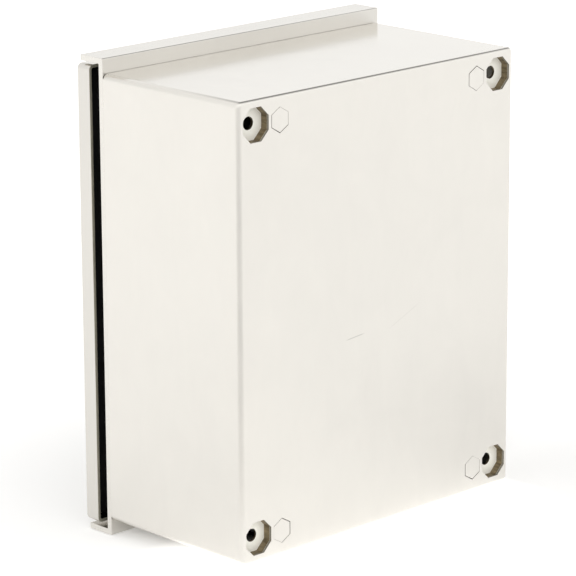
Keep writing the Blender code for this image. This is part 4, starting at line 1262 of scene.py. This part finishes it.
def sealing_ring():
    """A split channel ring around the disc and the collar's rim, with two ears and a screw."""
    low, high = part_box("sealing_ring")
    up = middle("closing_disc").z
    rear, front = -high.y, -low.y
    outer = high.x
    ear_end = up - low.z
    inner, channel, sheet, bend, slit, tab = 0.0810, 0.0853, 0.0015, 0.0008, 0.0060, 0.0030
    leg = rear + sheet - GAP
    section = [
        (inner, rear),
        (outer - bend, rear),
        *arc(outer - bend, rear + bend, bend, 270, 360, 5)[1:],
        *arc(outer - bend, front - bend, bend, 0, 90, 5),
        (inner, front),
        (inner, front - sheet),
        (channel, front - sheet),
        (channel, leg),
        (inner, leg),
    ]
    place = (0.0, 0.0, up)
    made = lathed("sealing_ring_skin", section, seen_from_front, FINE, place, closed=True)
    half_ear = slit / 2 + sheet
    ear = [
        (rear, 0.001 - outer),
        (rear, tab - ear_end),
        *arc(rear + tab, tab - ear_end, tab, 180, 270, 6),
        *arc(front - tab, tab - ear_end, tab, 270, 360, 6),
        (front, 0.001 - outer),
    ]
    cut(made, [ear], -half_ear, half_ear, seen_from_side, place, "UNION")
    opening = rectangle(-slit / 2, slit / 2, -ear_end - 0.01, 0.002 - inner)
    cut(made, [opening], rear - PAST, front + PAST, seen_from_front, place)
    screw = middle("sealing_ring_screw")
    hole = moved(circle(0.0023, SMALL), -screw.y, screw.z - up)
    cut(made, [hole], -0.01, 0.01, seen_from_side, place)
    soften(made, 0.00020, 2, 50)
    add(made, "door", SATIN_FRONT_PAINTED_SHADE, "stainless_steel", "sealing_ring")
    ring_screw()


def ring_screw():
    """The ring's clamping screw, with a cross hole in its head for a seal wire."""
    low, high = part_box("sealing_ring_screw")
    spot = middle("sealing_ring_screw")
    place = (0.0, -spot.y, spot.z)
    radius = 0.0020
    head = (high.z - low.z) / 2
    seat = high.x - 0.0026
    profile = [
        (0, low.x),
        (0.8 * radius, low.x),
        *thread(radius, low.x + 0.0004, seat, 0.0007),
        (head, seat),
        (head, seat + 0.0018),
        (head - 0.0006, high.x),
        (0, high.x),
    ]
    made = lathed("sealing_ring_screw_skin", profile, seen_from_side, SMALL, place)
    wire_hole = moved(circle(0.0006, 16), seat + 0.0010, 0.0)
    cut(made, [wire_hole], -0.01, 0.01, lambda u, v, w: (u, w, v), place)
    slot = rectangle(-0.0004, 0.0004, -0.01, 0.01)
    cut(made, [slot], high.x - 0.0008, high.x + PAST, seen_from_side, place)
    add(made, "door", PLATED, "stainless_steel", "sealing_ring_screw")


# ---- lock
def lock_pieces():
    place = centre_line("lock_housing")
    rear, front = reach("lock_housing")
    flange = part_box("lock_housing")[1].x - place[0]
    seat = DOOR_FACE + GAP
    bevel, edge = 0.0010, 0.0005
    section = [
        (LOCK_BORE, rear),
        (LOCK_BODY - edge, rear),
        *thread(LOCK_BODY, rear + edge, seat - 0.0010),
        (LOCK_BODY, seat),
        (flange, seat),
        (flange, front - bevel),
        *arc(flange - bevel, front - bevel, bevel, 0, 90, 6)[1:],
        (LOCK_BORE + 0.0016, front),
        (LOCK_BORE + 0.0008, front - 0.0006),
        (LOCK_BORE, front - 0.0010),
    ]
    made = lathed("lock_housing_skin", section, seen_from_front, FINE, place, closed=True)
    add(made, "door", PLATED, "zinc_plated_steel", "lock_housing")
    hexagon_nut("lock_nut", "door", 0.0270, LOCK_BODY + GAP, PLATED, "zinc_plated_steel")
    hexagon_nut("cam_nut", "lock", 0.0110, 0.0040, PLATED, "zinc_plated_steel")
    lock_insert(place, front)
    lock_cam(place)


def lock_insert(place, housing_front):
    """The part that a key turns: a stub for the cam, a body and a two-bit post in its recess."""
    cam_rear, cam_front = reach("lock_cam")
    shoulder = cam_front + GAP
    rear, post_front = reach("lock_insert")
    recess = housing_front - 0.0068
    stub, radius, post, edge, point = 0.0037, 0.0060, 0.0024, 0.0003, 0.0004
    profile = [
        (0, rear),
        (stub - point, rear),
        *thread(stub, rear + point, cam_rear, 0.0008),
        (stub, shoulder),
        (radius, shoulder),
        (radius, recess - edge),
        (radius - edge, recess),
        (post, recess),
        (post, post_front - edge),
        (post - edge, post_front),
        (0, post_front),
    ]
    made = lathed("lock_insert_skin", profile, seen_from_front, 64, place)
    bits = rounded_rectangle(-0.0015, 0.0015, -0.0045, 0.0045, 0.0006, 4)
    cut(made, [bits], recess - 0.0010, post_front - 0.0004, seen_from_front, place, "UNION")
    soften(made, 0.00012, 2, 50)
    add(made, "lock", PLATED, "zinc_plated_steel", "lock_insert")


def lock_cam(place):
    """The cam: a round end on the insert and a flat tongue."""
    rear, front = reach("lock_cam")
    half, length, corner = 0.0080, 0.0300, 0.0015
    outline = [
        *arc(0.0, 0.0, half, 0, 180, 24),
        *arc(corner - half, corner - length, corner, 180, 270, 6),
        *arc(half - corner, corner - length, corner, 270, 360, 6),
    ]
    made = extruded("lock_cam_skin", outline, rear, front, seen_from_front, place)
    cut(made, [circle(0.0040, SMALL)], 0.0, 2 * front, seen_from_front, place)
    soften(made, 0.00030, 3, 50)
    add(made, "lock", PLATED, "zinc_plated_steel", "lock_cam")


# ---- the studio
def camera():
    data = bpy.data.cameras.new("camera")
    data.lens = CAMERA_LENS
    data.sensor_width = 36.0
    made = bpy.data.objects.new("camera", data)
    bpy.context.scene.collection.objects.link(made)
    made.location = CAMERA_PLACE
    aim = (Vector(CAMERA_TARGET) - Vector(CAMERA_PLACE)).to_track_quat("-Z", "Y")
    made.rotation_euler = (aim @ Quaternion((0, 0, 1), math.radians(CAMERA_ROLL))).to_euler()
    bpy.context.scene.camera = made


def surroundings():
    """A white room with a dim patch in its ceiling, a little brighter behind the object."""
    world = bpy.data.worlds.new("studio")
    bpy.context.scene.world = world
    tree = Tree("studio", world)
    ceiling = tree.nodes.new("ShaderNodeVectorMath")
    ceiling.operation = "DOT_PRODUCT"
    ceiling.inputs[1].default_value = DIM_CEILING
    tree.feed(ceiling.inputs[0], tree.coordinates["Generated"])
    light = tree.range(ceiling.outputs["Value"], 0.58, 0.90, 1.21, 0.35, interpolation="SMOOTHSTEP")
    background = tree.nodes["Background"]
    background.inputs["Color"].default_value = (1.0, 0.996, 0.985, 1.0)
    rear_light = tree.times(tree.part("Generated", "Y"), 0.18)
    tree.feed(background.inputs["Strength"], tree.plus(rear_light, light))


def studio_floor():
    """A pale floor that glows a little, so the object has next to no shadow in front of the camera."""
    mesh = bmesh.new()
    bmesh.ops.create_grid(mesh, x_segments=1, y_segments=1, size=8.0)
    data = bpy.data.meshes.new("floor")
    mesh.to_mesh(data)
    mesh.free()
    floor = bpy.data.objects.new("floor", data)
    bpy.context.scene.collection.objects.link(floor)
    floor.location.z = CAD_BOX[0][2] - 0.0005
    tree = Tree("floor")
    # Places on the floor, seen from the middle of the box: x, y, the distance and the side of the camera
    x, y = tree.part("Object", "X"), tree.plus(tree.part("Object", "Y"), -middle("body_shell").y)
    distance = tree.math("SQRT", tree.plus(tree.times(x, x), tree.times(y, y)))
    corner = tree.math("DIVIDE", tree.plus(x, y), tree.math("MAXIMUM", distance, 0.05))
    # The glow at the side and behind, less a soft patch beyond the rear
    near, far = tree.range(distance, 0.12, 0.30, 0.20, 0.37), tree.range(distance, 0.3, 0.9, 0.0, 0.09)
    at_side = tree.plus(near, far)
    at_rear = tree.range(distance, 0.20, 0.55, 0.47, 0.37)
    patch_x, patch_y = tree.plus(x, 0.25), tree.minus(y, 0.17)
    beside = tree.plus(tree.times(patch_x, patch_x), tree.times(patch_y, patch_y))
    patch = tree.range(beside, 0.0, 0.03, 0.22, 0.0)
    glow = tree.minus(tree.mix(tree.range(y, -0.10, 0.15, 0.0, 1.0), at_side, at_rear), patch)
    # No glow under the box, but for a strip under its rear edge
    clear_x = tree.range(tree.size(x), 0.092, 0.112, 0.0, 1.0)
    clear_y = tree.range(tree.size(y), 0.045, 0.066, 0.0, 1.0)
    glow = tree.times(glow, tree.math("MAXIMUM", clear_x, clear_y))
    across = tree.range(tree.size(x), 0.125, 0.150, 0.6, 0.0)
    along = tree.times(tree.range(y, -0.03, 0.0, 0.0, 1.0), tree.range(y, 0.066, 0.095, 1.0, 0.0))
    glow = tree.plus(glow, tree.times(across, along))
    # Towards the camera it is a little darker and warmer
    dip = tree.times(tree.range(corner, 0.70, 1.35, 0.0, 1.0), tree.range(distance, 0.16, 0.42, 0.0, 0.35))
    tree.finish((0.90, 0.90, 0.90), 0.8)
    tint = tree.colour(tree.range(dip, 0.0, 0.35, 0.0, 1.0), (1.0, 0.995, 0.98), (1.0, 0.94, 0.84))
    tree.feed(tree.shader.inputs["Emission Color"], tint)
    tree.feed(tree.shader.inputs["Emission Strength"], tree.minus(glow, dip))
    data.materials.append(tree.owner)


def build():
    dress_nodes()
    shell_skin()
    frame_skin()
    door_skin()
    foam_gasket()
    rear_corner_pieces()
    mounting_plate()
    meter_socket()
    neutral_bar()
    earth_point()
    gland_plate()
    hinges()
    meter_collar()
    rim_gasket()
    closing_disc()
    sealing_ring()
    lock_pieces()


bpy.context.scene.view_settings.view_transform = "Standard"
camera()
surroundings()
studio_floor()
build()
